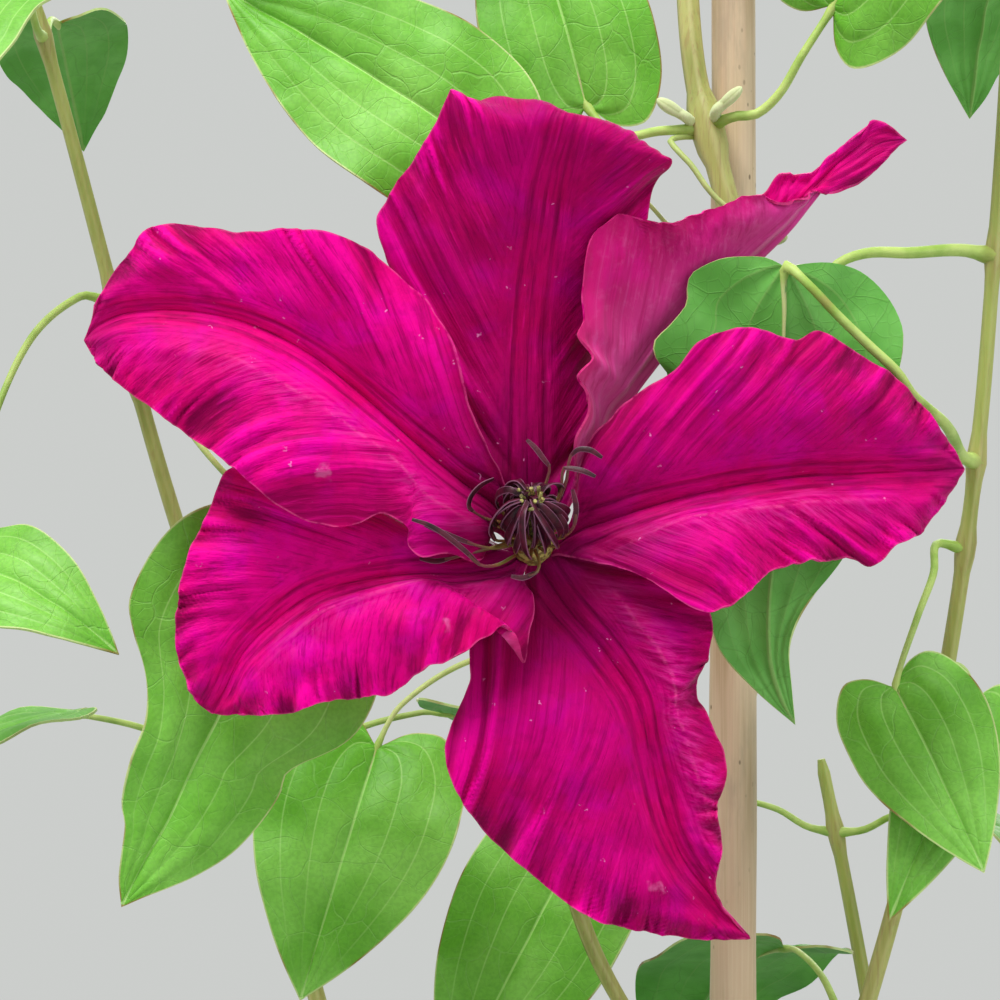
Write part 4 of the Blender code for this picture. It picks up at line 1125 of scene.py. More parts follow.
BEHIND_RIGHT_LEAF = (
    (
        (38, 36.5, -1.2), (37.7, 27.2, -1), (37.4, 13.7, 0), (36.8, -1.4, 1.5), (35.6, -13.4, 3),
        (35.7, -22.4, 4), (37.5, -28.4, 4), (39.5, -32.1, 4),
    ),
    (
        (37.3, 37, -1), (35, 38, -0.5), (31.4, 38.1, 0), (28.4, 37.8, 0.5), (25.8, 36.8, 1),
        (23.7, 35.4, 1.5), (23.1, 32.9, 1.5), (23.2, 31.3, 1), (20.7, 28.1, 0.5),
        (18.2, 25.5, 0), (18.5, 23, -0.5), (20.3, 20.7, 0), (21, 12.2, 1), (22.5, 0.2, 2.5),
        (24.5, -10.4, 4), (26.3, -15.2, 5), (28.2, -20.9, 5), (33.5, -26.9, 4.5),
        (39.5, -32.1, 4),
    ),
    (
        (38.7, 36.6, -1), (40.2, 37, 0), (44.7, 37.2, 1.5), (49.2, 35.9, 3), (53, 32.4, 4),
        (55.2, 27.9, 4.5), (55.2, 24.2, 4.5), (54.5, 20.4, 4.5), (53.4, 12.2, 4.5),
        (51, 1.7, 4.5), (46.2, -7.4, 4), (40.6, -14.9, 3.5), (38.6, -20.1, 3.5),
        (39, -26.9, 4), (39.5, -32.1, 4),
    ),
)


def leaves_round_bloom():
    leaf(
        "leaf_lower_left",
        [*rim_of(LEFT, 492, -80), (-91, -10, 489), (-84.9, -23, 481), (-79, -25.5, 474.5)],
        [DrawnBlade(*LOWER_LEFT_LEAF, (0.15, -1, 0.3))],
    )
    stalk = [seen(62, 13, 10), seen(57, 17.5, 1.5), seen(54.7, 20.9, -0.5), seen(51, 24.4, -1.6)]
    stalk += [seen(46, 29.2, -3), seen(41.2, 34.2, -3.6)]
    leaf(
        "leaf_behind_right",
        [*rim_of(RIGHT, 478, -120), *stalk],
        [DrawnBlade(*BEHIND_RIGHT_LEAF, (0, 1, -0.1), 0.05)],
        girth=1.05,
    )
    leaf(
        "leaf_lower_right",
        [*rim_of(RIGHT, 464, -150), (31, -11, 460), (28, -14, 453)],
        [
            Blade((24.5, -15, 442), (37, -25, 414), (-0.1, -1, 0.35), 23, 0.08),
            Blade((38, -9, 440), (22.5, -22, 406), (0.1, -1, 0.4), 17, 0.06, seed=2),
        ],
    )
    leaf(
        "leaf_behind_right_low",
        [*rim_of(RIGHT, 511, -165), (27, -12, 510.8), (20, -14, 510.6), (15, -15, 508.5)],
        [Blade((11.5, -16, 503), (10, -22, 461), (0.1, -1, 0.2), 24, 0.06)],
        girth=1.1,
    )
    leaf(
        "leaf_far_left",
        [*rim_of(LEFT, 505, -150), (-115, 4, 497), (-121, -6, 478)],
        [Blade((-123, -13, 461), (-96.8, -24, 447.7), (-0.1, -0.8, 0.7), 19, 0.16)],
    )
    leaf(
        "leaf_above",
        [rim_of(MAIN, 531, -165)[0], (-12.4, -8.4, 530.5), (-18.7, -9, 529.6)],
        [Blade((-24, -5, 535), (-36, 6, 577), (0, -1, 0.25), 28, 0.1)],
        girth=0.85,
    )
    leaf(
        "leaf_clasping",
        [
            rim_of(MAIN, 530, 180)[0], (-10.6, -9, 529), (-9.4, -11.4, 526.8), (-7.5, -12.6, 524.6),
            (-5.1, -13.4, 521), (-2.4, -13.6, 518.2), (1.5, -12.6, 516.5), (6.4, -7.5, 515),
            (8.3, 0, 514), (5.8, 6.8, 513.5), (-1, 9.4, 514), (-8, 6.5, 515), (-11, -1, 516.5),
            (-15.5, -8, 520), (-25, -12, 524),
        ],
        [Blade((-41, -17, 527), (-82, -9, 553), (-0.2, -0.9, 0.3), 31, 0.06)],
        girth=0.5,
    )
    leaf(
        "leaf_above_right",
        [*rim_of(MAIN, 532, -50), (3, -10.4, 533), (6.6, -11.2, 536.2), (10, -12, 542)],
        [Blade((15, -12, 550), (46, -22, 584), (0.2, -0.8, 0.6), 30, 0.12)],
        girth=0.85,
    )
    leaf(
        "leaf_below",
        [*rim_of(MAIN, 455, 120), (-18, 14, 452), (-43, 10, 445), (-54, 7, 438)],
        [Blade((-58, 6, 431), (-70, -3, 391), (0.1, -1, 0.4), 33, 0.08)],
    )
    leaf(
        "leaf_below_middle",
        [*rim_of(MAIN, 404, 140), (-12, 14, 408), (-19, 18, 414)],
        [Blade((-25, 20, 413), (-47, 15, 371), (-0.1, -1, 0.3), 30, 0.04)],
    )


# Leaves by rule. Each row gives the leaf's name, its stem, the height where it leaves it, its
# direction, the stalk's length, the blade's length, and how far each blade is turned.

ONE = (0,)
LEFT_TWO = (0, 68)
RIGHT_TWO = (0, -68)
THREE = (0, 68, -68)
LEAVES = (
    ("main_1", MAIN, 218, 190, 40, 58, THREE),
    ("main_2", MAIN, 218, 10, 40, 60, ONE),
    ("main_3", MAIN, 270, 260, 38, 60, THREE),
    ("main_4", MAIN, 270, 80, 38, 58, ONE),
    ("main_5", MAIN, 322, 200, 34, 60, LEFT_TWO),
    ("main_6", MAIN, 322, 5, 34, 58, RIGHT_TWO),
    ("main_7", MAIN, 366, 205, 30, 58, LEFT_TWO),
    ("main_8", MAIN, 362, 25, 32, 60, RIGHT_TWO),
    ("main_9", MAIN, 588, 22, 30, 54, ONE),
    ("main_10", MAIN, 588, 196, 30, 52, ONE),
    ("main_11", MAIN, 640, 170, 16, 32, ONE),
    ("main_12", MAIN, 640, 350, 16, 34, ONE),
    ("left_1", LEFT, 244, 240, 34, 58, THREE),
    ("left_2", LEFT, 244, 80, 34, 56, ONE),
    ("left_3", LEFT, 302, 130, 32, 60, LEFT_TWO),
    ("left_4", LEFT, 302, 298, 28, 54, ONE),
    ("left_5", LEFT, 362, 200, 30, 60, RIGHT_TWO),
    ("left_6", LEFT, 362, 20, 30, 50, ONE),
    ("left_7", LEFT, 425, 190, 26, 50, ONE),
    ("left_8", LEFT, 425, 10, 26, 48, ONE),
    ("left_9", LEFT, 548, 90, 18, 36, ONE),
    ("left_10", LEFT, 548, 270, 18, 34, ONE),
    ("right_1", RIGHT, 385, 110, 24, 48, ONE),
    ("right_2", RIGHT, 385, 290, 26, 50, ONE),
    ("right_3", RIGHT, 556, 90, 16, 34, ONE),
    ("right_4", RIGHT, 556, 270, 16, 32, ONE),
    ("back_1", BACK, 248, 310, 34, 58, LEFT_TWO),
    ("back_2", BACK, 248, 108, 32, 56, ONE),
    ("back_3", BACK, 304, 0, 32, 58, LEFT_TWO),
    ("back_4", BACK, 304, 180, 30, 54, ONE),
    ("back_5", BACK, 358, 80, 28, 54, THREE),
    ("back_6", BACK, 412, 330, 18, 40, ONE),
    ("back_7", BACK, 412, 150, 18, 38, ONE),
)
OLD_LEAF, YOUNG_LEAF = 240.0, 700.0


def leaf_by_rule(name, stem, height, degrees, stalk, size, turns):
    chance = random.Random(name)
    degrees += chance.uniform(-6, 6)
    rise = chance.uniform(0.15, 0.4)
    foot = rim_of(stem, height, degrees)
    middle = foot[0] + level(degrees) * stalk * 0.55 + Vector((0, 0, stalk * rise * 0.7))
    end = foot[0] + level(degrees) * stalk + Vector((0, 0, stalk * rise))
    age = min(1.0, max(0.0, (YOUNG_LEAF - height) / (YOUNG_LEAF - OLD_LEAF)))
    blades = []
    for turn in turns:
        way = level(degrees + turn + chance.uniform(-8, 8))
        droop = math.radians(chance.uniform(28, 52))
        length = size * (0.8 if turn else 1.0) * chance.uniform(0.92, 1.08)
        start = end + way * 4.5
        tip = start + (way * math.cos(droop) - Vector((0, 0, math.sin(droop)))) * length
        facing = Vector((0, 0, math.cos(droop))) + way * math.sin(droop)
        facing += way.cross(Vector((0, 0, 1))) * chance.uniform(-0.25, 0.25)
        bend = chance.uniform(-0.06, 0.06)
        seed = chance.randrange(1000)
        blades.append(
            Blade(start, tip, facing, length * 0.62, 0.1, bend, 0.2, seed, age)
        )
    leaf("leaf_" + name, [*foot, middle, end], blades, False)


leaves_round_bloom()
for row in LEAVES:
    leaf_by_rule(*row)


# Buds. Two small pale buds sit in the leaf axil above the bloom, downy, on short stalks. Each
# is blunt at its ends and furrowed along the seams of its four folded tepals.

BUD_LENGTH = 3.8
BUD_STEPS = 18
BUD_CURL = 0.06


def bud_down():
    finish = Finish("bud_down", Specular_IOR_Level=0.3, Sheen_Weight=0.4)
    seam = finish.attribute("lie").parts()[0]
    cloud = finish.grain(finish.place(), 1.6, 3.0)
    colour = finish.mix(cloud, rgb(196, 212, 142), rgb(232, 240, 196))
    colour = finish.mix(seam.step(0.25, 0.0) * 0.5, colour, rgb(168, 184, 112))
    relief = finish.bump(finish.grain(finish.place((1, 1, 0.2)), 0.25), 0.1)
    return finish.dress(Base_Color=colour, Roughness=0.6 + cloud * 0.1, Normal=relief)


def bud(name, path, radius):
    """A pale bud of four folded tepals on a short stalk."""
    path = [Vector(point) for point in path]
    way = (path[-1] - path[-2]).normalized()
    shape = fresh()
    tube(shape, Line(path).sampled(10), tapered(0.95, 0.85, 10), STALK_SIDES, 0)
    steps = [step / BUD_STEPS for step in range(BUD_STEPS + 1)]
    curl = Vector((0, 0, BUD_CURL * BUD_LENGTH))
    points = [
        path[-1] + way * BUD_LENGTH * (1.2 * step - 0.2) + curl * step * step for step in steps
    ]
    radii = [
        radius * (0.7 + 0.3 * math.sin(math.pi * step)) * math.sqrt(1.01 - step**7)
        for step in steps
    ]
    tube(shape, points, radii, 24, 0, 4, 0.16)
    piece(name + "_down", mesh_of(shape, name + "_down"), [name], [BUD])


BUD = bud_down()
bud("bud_left", [rim_of(MAIN, 532, -160)[0], (-8.3, -8.4, 532.8), (-9.6, -8.8, 533.5)], 1.1)
bud("bud_right", [rim_of(MAIN, 532.6, -60)[0], (-3.4, -10.2, 533.6), (-2.2, -10.9, 534.6)], 1)


# The bloom's stalk, which comes from the main stem and holds the bloom from behind, and then
# the stems themselves, now that each knows where its leaves grow.

BOSS_FOOT = Vector((0.0, -3.2, 3.4))
BOSS_AXIS = Vector((-0.04, 0.5, 0.87)).normalized()
CORE_LENGTH = 7.0
SEAT_GAP = 0.3
BLOOM_JOINT = 376


def in_bloom(place):
    """A point of the bloom, given as seen from the front: right, up, and towards the viewer."""
    return BLOOM + Vector((place[0], -place[2], place[1]))


def round_axis(degrees, off, height):
    """A point of the bloom beside the axis of its core and boss, and so high along it."""
    right = Vector((1, 0, 0))
    right = (right - BOSS_AXIS * BOSS_AXIS.dot(right)).normalized()
    up = BOSS_AXIS.cross(right)
    way = right * math.cos(math.radians(degrees)) + up * math.sin(math.radians(degrees))
    return BOSS_FOOT + BOSS_AXIS * height + way * off


def bloom_stalk():
    behind = BOSS_FOOT - BOSS_AXIS * (1.0 + SEAT_GAP + CORE_LENGTH + SEAT_GAP)
    stem, radius = MAIN.at(BLOOM_JOINT)
    MAIN.joints.add(BLOOM_JOINT)
    off = radius + STALK_GAP
    path = Line([
        in_bloom(behind), in_bloom(behind - BOSS_AXIS * 6), (-33, -20, 452), (-31, -8, 430),
        (-24, 2, 402), (-14, 6, 383), stem + Vector((-off - 4, 0, 0.6)),
    ])
    points = [*path.sampled(60), stem + Vector((-off, 0, 0))]
    radii = tapered(1.5, 1.25, len(points))
    radii[0] = 1.9
    radii[-1] = 1.9
    shape = fresh()
    tube(shape, points, radii, 16, 0, 6, 0.12)
    piece("bloom_stalk_green", mesh_of(shape, "bloom_stalk_green"), ["bloom_stalk"], [VINE])


bloom_stalk()
MAIN.make("stem_main_wood", "stem_main")
LEFT.make("stem_left_wood", "stem_left")
BACK.make("stem_back_wood", "stem_back")
RIGHT.make("shoot_right_wood", "shoot_right")


# Bloom. Six thin velvety tepals, each with three grooves down its middle, fine veins that fan
# out to a crimped margin, and a paler back. All grow from one core behind the boss of stamens.

TEPAL_THICKNESS = 0.4
TEPAL_ROWS, TEPAL_COLUMNS = 150, 100
GROOVE_DEPTH = 0.3
GROOVE_WIDTH = 0.7
GROOVE_APART = 2.4
VEIN_SLANT, VEIN_CURVE = 0.018, 0.75
WAVE, RUFFLE, RIPPLE, CRIMP = 0.05, 1.8, 0.45, 0.15
CREST_HEIGHT, CREST_WIDTH = 0.55, 1.3
DIMPLE, NICK = 0.9, 0.35
TEPAL_ROOT_RADIUS, TEPAL_ROOT_HEIGHT = 2.6, -5.0

# Each tepal has its rib, then its left and its right margin as they run outwards. A point is
# given as in_bloom takes it: right, up, and towards the viewer.
TEPALS = {
    "top": (
        (
            (-0.6, 3.2, 0.6), (-0.7, 12, 1.5), (-0.6, 21, 2), (0, 31.6, 3), (1.2, 41.4, 5),
            (2.5, 49.6, 8), (5, 58, 11), (5.4, 57.6, 4), (6, 54, -4),
        ),
        (
            (-5.4, 4.4, 0.2), (-9, 10.6, 0.6), (-12.7, 18.9, 1), (-17.5, 28.6, 2), (-20.5, 35.5, 2.5),
            (-22.9, 43, 3.5), (-21.3, 47, 4.5), (-18, 51.4, 6), (-14.6, 56.8, 8), (-12, 62, 9),
            (-10, 60.5, 2), (-3, 57, -4), (6, 54, -4),
        ),
        (
            (4, 4.8, -1.6), (7.5, 10.6, -3.8), (10.5, 18.9, -6), (13.2, 30.1, -7), (15.6, 38, -4),
            (17.7, 45, 0.5), (19.4, 49.4, 3.5), (20.6, 52.1, 6), (14, 52.5, 0), (6, 54, -4),
        ),
    ),
    "upper_right": (
        (
            (6.4, 2.4, -0.5), (9.6, 8.4, -1), (13.4, 14.8, -2), (18.3, 21.4, -3),
            (23.9, 28.2, -4), (29.7, 33.7, -5), (35.1, 38.6, -6), (39.3, 42.8, -6.5),
            (42.6, 46.9, -7.5), (46, 51, -8.5), (49.3, 53.4, -9.5), (53.2, 55.9, -10),
            (57.5, 56.7, -10),
        ),
        (
            (4.6, 3.4, -1), (6.6, 10.6, -1.6), (8.6, 18.1, -2), (11.5, 24.9, -3),
            (15.5, 31.9, -4), (21, 38, -5), (27, 43, -6), (32.6, 47.8, -7), (35.4, 48.3, -7.5),
            (37.8, 51.3, -8), (42.3, 51.3, -8.5), (46.6, 55, -9.5), (51.4, 58.9, -10),
            (52, 59.8, -10), (54.7, 58.9, -10), (57.5, 56.7, -10),
        ),
        (
            (6.2, 3.2, 1.4), (6, 11.2, 4), (7.8, 15, 4.6), (7.4, 18, 5), (6, 20.1, 5.5),
            (6.9, 21.4, 5.8), (8.8, 22.9, 6), (6.7, 26.1, 6), (8, 28.5, 5.6), (7.8, 34, 5),
            (8.4, 39.7, 5), (10.4, 42.6, 4.6), (12.6, 44.3, 4.2), (15.9, 43.5, 3.6),
            (20.2, 43.1, 3), (24.2, 43.8, 2.2), (29, 45.6, 1), (34.4, 47.5, -1),
            (36.9, 46.5, -3), (40.5, 47.7, -5), (42.6, 48.8, -6.2), (45.2, 48.7, -7),
            (49.6, 50.4, -8.4), (53.5, 52.8, -9.4), (55.7, 55.4, -10), (57.5, 56.7, -10),
        ),
    ),
    "right": (
        (
            (6.2, -3.4, 1.5), (10.9, -1.6, 3), (17.7, 0.7, 4), (24.4, 2.5, 4), (31.9, 4, 4),
            (39.4, 5.1, 3), (46.9, 5.5, 2), (54.4, 5.8, 1), (60.4, 6.1, 0), (65, 6.3, -1),
        ),
        (
            (6, -1.2, 1.5), (8, 9.5, 4), (12.4, 14.4, 6), (16.9, 18, 7), (21, 20.8, 7.5),
            (24.9, 25.5, 8), (32.1, 27.1, 8), (39, 25.3, 7.5), (42.6, 26.5, 7), (48.6, 23.2, 5),
            (55, 19.2, 3), (62, 11.1, 0), (65, 6.3, -1),
        ),
        (
            (4.6, -6.6, 1.5), (11.2, -8.2, 5), (16.5, -9.7, 8), (21.7, -13.2, 10.5),
            (25.3, -15, 12), (27.3, -14.8, 12), (31.3, -12.6, 11), (34.9, -9.1, 9),
            (41.4, -7.2, 8), (47.4, -6.7, 6), (50.7, -8.1, 5), (53.8, -5.5, 4), (57.4, -3.7, 2),
            (61.2, 0.4, 0), (65, 6.3, -1),
        ),
    ),
    "bottom": (
        (
            (2.2, -10.2, 1.2), (6, -15.5, 1.8), (10.4, -20.5, 2.3), (15.7, -28.6, 3), (17.7, -36.6, 3),
            (19.8, -45.6, 3), (22.9, -52.6, 3), (27, -57.6, 2), (32.7, -64, 1),
        ),
        (
            (4.5, -5.5, 0.5), (14.4, -7, 2), (25.8, -13.5, 4.5), (26.4, -21, 5), (24.3, -25, 4.5),
            (24.4, -27.4, 4), (27.3, -33.1, 4), (28.9, -38.7, 4), (27.6, -43.9, 4),
            (28.2, -50.4, 3.5), (27.1, -56.8, 3), (29.8, -60.6, 2), (32.7, -64, 1),
        ),
        (
            (-1.2, -10, 1), (-4.4, -16, 1.5), (-9, -19.8, 2), (-9.3, -25.6, 2.5),
            (-12.9, -34.8, 3.5), (-11.7, -40.6, 4), (-7.5, -47.2, 4), (-0.4, -53.8, 4),
            (9.1, -60.7, 3), (23.7, -63.9, 2), (32.7, -64, 1),
        ),
    ),
    "lower_left": (
        (
            (-4.6, -8.4, 2.6), (-10, -9.3, 4), (-17.5, -9.4, 4), (-25, -10.3, 3.5),
            (-32.5, -12.4, 3), (-38.5, -16.6, 3), (-43, -21.1, 2.5), (-45.9, -26.8, 2),
            (-47.8, -30.3, 1.5),
        ),
        (
            (-1.4, -10.2, 3), (0.2, -13.6, 6), (-0.6, -18.2, 8.2), (-1.35, -21.6, 9),
            (-2.4, -18.4, 9), (-4.5, -17.1, 9.6), (-5.9, -18.2, 10),
            (-12, -22, 10), (-17.2, -23.7, 9), (-20.7, -26.5, 8.5), (-30.4, -28.2, 6),
            (-34.8, -29.8, 5), (-43, -30.4, 3), (-47.8, -30.3, 1.5),
        ),
        (
            (-5.4, -4.6, 1.6), (-9, -2.5, 2), (-17, -1, 2), (-27, 3, 2.5),
            (-35.5, 3.9, 2.5), (-45, 6.4, 2.5), (-48.5, -0.5, 2.5), (-51.3, -6.6, 2.5),
            (-53, -14, 2), (-52.9, -21.6, 2), (-50.4, -28, 1.5), (-47.8, -30.3, 1.5),
        ),
    ),
    "upper_left": (
        (
            (-5.6, 0.8, 2.5), (-10.5, 4.3, 4.5), (-17.5, 10.2, 5), (-25, 16.9, 5),
            (-33.3, 23.4, 5), (-42.3, 27.9, 4), (-51.3, 29.8, 3), (-60.3, 29.7, 1),
            (-64.8, 27.9, 0), (-67.2, 25.6, -1),
        ),
        (
            (-5.6, -3, 2.5), (-7.9, -7.4, 6.5), (-12.7, -6.3, 9), (-16, -6.9, 10),
            (-18.2, -5.2, 10), (-18.2, -2.9, 9.6), (-19.8, -1, 10), (-22.2, -0.1, 10.4),
            (-28, -2.1, 11), (-37, 0.6, 11),
            (-47.5, 9.1, 9), (-55.8, 14.8, 6), (-63.3, 20.4, 2), (-66.3, 24.1, 0),
            (-67.2, 25.6, -1),
        ),
        (
            (-4.4, 4.4, 2.4), (-6.3, 8.8, 5), (-9.3, 15.9, 7), (-12, 25.6, 8), (-20.5, 35.4, 8),
            (-30.3, 41.4, 8), (-43.8, 41.4, 6), (-56.1, 42.4, 4), (-60.4, 38.4, 2.5),
            (-64.3, 33.1, 1), (-67.2, 25.6, -1),
        ),
    ),
}


# Where each tepal's left and right margin leave the core, in degrees round it, how full the
# tepal is on both sides of its rib, as a share of its width, how far right of its rib it has
# a crest, which carries a painted highlight and a band of painted sheen, and how much painted
# shade darkens the whole tepal where it faces away from the light.
NO_CREST = 99.0
TEPAL_FORMS = {
    "top": (120, 62, 0.10, NO_CREST, 0.48),
    "upper_right": (62, 8, -0.05, NO_CREST, 0.0),
    "right": (8, -48, 0.12, 5.0, 0.28),
    "bottom": (-48, -110, 0.10, -7.0, 0.36),
    "lower_left": (-110, -182, 0.12, -3.8, 0.0),
    "upper_left": (178, 120, 0.12, -6.8, 0.0),
}


def tepal_lines(finish, lie):
    """The grooves along the rib, and the fine veins that fan out from it to the margin."""
    across, share, half = lie.parts()
    reach = across.size()
    off_rib = reach * half
    apart = GROOVE_APART * (1.2 - share * 0.6)
    grooves = off_rib.step(0.4, 0.05) * 0.6
    grooves = grooves.larger((off_rib - apart).size().step(0.55, 0.08))
    vein = share - (reach**VEIN_CURVE) * half * VEIN_SLANT
    slanted = finish.grain(finish.vector(vein * 75, across * 4, half * 0.01), 1.0, 3.0, 0.7)
    straight = finish.grain(finish.vector(across * half * 1.5, share * 9), 1.0, 2.5, 0.6)
    outer = off_rib.step(2.5, 7.0)
    fan = straight * (1 - outer) + slanted * outer
    return grooves, fan


def tepal_face():
    finish = Finish("tepal_face", Specular_IOR_Level=0.25, Subsurface_Weight=0.08)
    finish.dress(
        Specular_Tint=(1.0, 0.1, 0.5),
        Sheen_Weight=0.16,
        Sheen_Roughness=0.4,
        Sheen_Tint=(1.0, 0.1, 0.5),
        Subsurface_Radius=(1.0, 0.1, 0.4),
        Subsurface_Scale=1.0 * MM,
    )
    lie = finish.attribute("lie")
    across, share, half = lie.parts()
    fold, crest, painted_shade = finish.attribute("flat").parts()
    reach = across.size()
    grooves, fan = tepal_lines(finish, lie)
    spot = finish.place()
    cloud = finish.grain(spot, 13.0, 3.0)
    violet = finish.grain(finish.bent(spot, 30.0, 40.0), 8.0, 3.0, 0.6)
    mottle = finish.grain(spot, 2.2, 3.0, 0.65)
    colour = finish.mix(cloud.step(0.3, 0.7), rgb(196, 0, 102), rgb(226, 0, 140))
    colour = finish.mix(violet.step(0.46, 0.7) * 0.5, colour, rgb(212, 0, 168))
    colour = finish.mix(reach.step(0.55, 1.0) * 0.35, colour, rgb(210, 0, 88))
    strip = (reach * half).step(3.4, 2.2) * share.step(0.1, 0.4)
    colour = finish.mix(strip * 0.4, colour, rgb(214, 0, 92))
    # Painted shade: the whole tepal is darkened by how far it faces away from the light.
    colour = finish.mix(painted_shade, colour, rgb(122, 0, 50))
    # Painted highlight on the crests of the ruffles and crimps, and painted shade in their hollows,
    # both by the fold height that each point keeps.
    colour = finish.mix((fold + fan * 0.5 - 0.25).step(0.1, 0.7) * 0.7, colour, rgb(246, 0, 160))
    colour = finish.mix((fold + fan * 0.6 - 0.3).step(-0.1, -0.7) * 0.75, colour, rgb(112, 0, 54))
    colour = finish.mix(mottle.step(0.5, 0.3) * 0.25, colour, rgb(132, 0, 74))
    colour = finish.mix(fan.step(0.52, 0.32) * 0.5, colour, rgb(116, 0, 60))
    colour = finish.mix(fan.step(0.55, 0.72) * 0.35, colour, rgb(238, 16, 144))
    # Painted sheen: a band of pale mauve beside the crest, where light glances off the tepal's fine
    # fibres.
    off_crest = across * half - crest + (cloud - 0.5) * 2
    painted_sheen = off_crest.size().step(4.5, 0.5) * fan.step(0.44, 0.64) * share.step(0.9, 0.6)
    colour = finish.mix(painted_sheen * 0.4, colour, rgb(210, 60, 150))
    # Painted highlight: a thin pale line along the top of the crest.
    ridge = off_crest.size().step(0.45, 0.0) * share.step(0.08, 0.3) * share.step(0.85, 0.5)
    colour = finish.mix(ridge * mottle.step(0.4, 0.6) * 0.32, colour, rgb(232, 92, 158))
    # Painted shade: darker near the core, where the tepals meet under the boss.
    colour = finish.mix(share.step(0.42, 0.04) * 0.75, colour, rgb(94, 0, 42))
    tip = (share + (cloud - 0.5) * 0.3).step(0.84, 1.02)
    colour = finish.mix(tip * 0.5, colour, rgb(112, 14, 72))
    colour = finish.mix(grooves * share.step(1.0, 0.7) * 0.42, colour, rgb(84, 0, 44))
    rim = ((1 - reach) * half).step(0.3, 0.1) * mottle.step(0.35, 0.55)
    colour = finish.mix(rim * 0.45, colour, rgb(228, 84, 148))
    flecks = finish.cells(finish.bent(spot, 2.4, 0.9), 3.6).step(0.085, 0.045)
    flecks = flecks * violet.step(0.42, 0.58)
    colour = finish.mix(flecks * 0.65, colour, rgb(236, 142, 204))
    scuffs = finish.cells(finish.bent(spot, 5.0, 2.4), 19.0).step(0.075, 0.04)
    colour = finish.mix(scuffs * mottle.step(0.35, 0.6) * 0.5, colour, rgb(222, 112, 172))
    relief = finish.bump(fan, 0.42, 0.7)
    relief = finish.bump(mottle, 0.25, 0.5, relief)
    relief = finish.bump(1 - grooves, 0.14, 0.8, relief)
    rough = 0.5 + fan * 0.14
    return finish.dress(Base_Color=colour, Roughness=rough, Normal=relief)


def tepal_back():
    finish = Finish("tepal_back", Specular_IOR_Level=0.25, Subsurface_Weight=0.08)
    finish.dress(
        Specular_Tint=(1.0, 0.4, 0.75),
        Sheen_Weight=0.2,
        Sheen_Tint=(1.0, 0.45, 0.75),
        Subsurface_Radius=(1.0, 0.2, 0.5),
        Subsurface_Scale=1.0 * MM,
    )
    lie = finish.attribute("lie")
    across, share, half = lie.parts()
    reach = across.size()
    grooves, fan = tepal_lines(finish, lie)
    spot = finish.place()
    cloud = finish.grain(spot, 9.0, 3.0)
    mottle = finish.grain(spot, 1.6, 3.0, 0.65)
    colour = finish.mix(cloud.step(0.35, 0.65), rgb(188, 0, 100), rgb(206, 8, 126))
    near_rib = (reach * half + cloud * 14).step(22.0, 8.0)
    colour = finish.mix(near_rib * 0.55, colour, rgb(210, 72, 156))
    colour = finish.mix(share.step(0.5, 0.15) * 0.4, colour, rgb(212, 104, 166))
    colour = finish.mix(mottle.step(0.5, 0.75) * 0.14, colour, rgb(228, 126, 184))
    colour = finish.mix(fan.step(0.52, 0.3) * 0.5, colour, rgb(160, 0, 84))
    colour = finish.mix(fan.step(0.54, 0.7) * 0.25, colour, rgb(226, 104, 176))
    colour = finish.mix(reach.step(0.72, 1.0) * 0.6, colour, rgb(188, 0, 94))
    colour = finish.mix(share.step(0.16, 0.02) * reach.step(0.2, 0.9) * 0.5, colour, rgb(150, 110, 100))
    colour = finish.mix(grooves * 0.35, colour, rgb(218, 142, 176))
    relief = finish.bump(fan, 0.25, 0.6)
    relief = finish.bump(grooves, 0.25, 0.8, relief)
    return finish.dress(Base_Color=colour, Roughness=0.55 + fan * 0.14, Normal=relief)


TEPAL_FINISHES = [tepal_face(), tepal_back()]


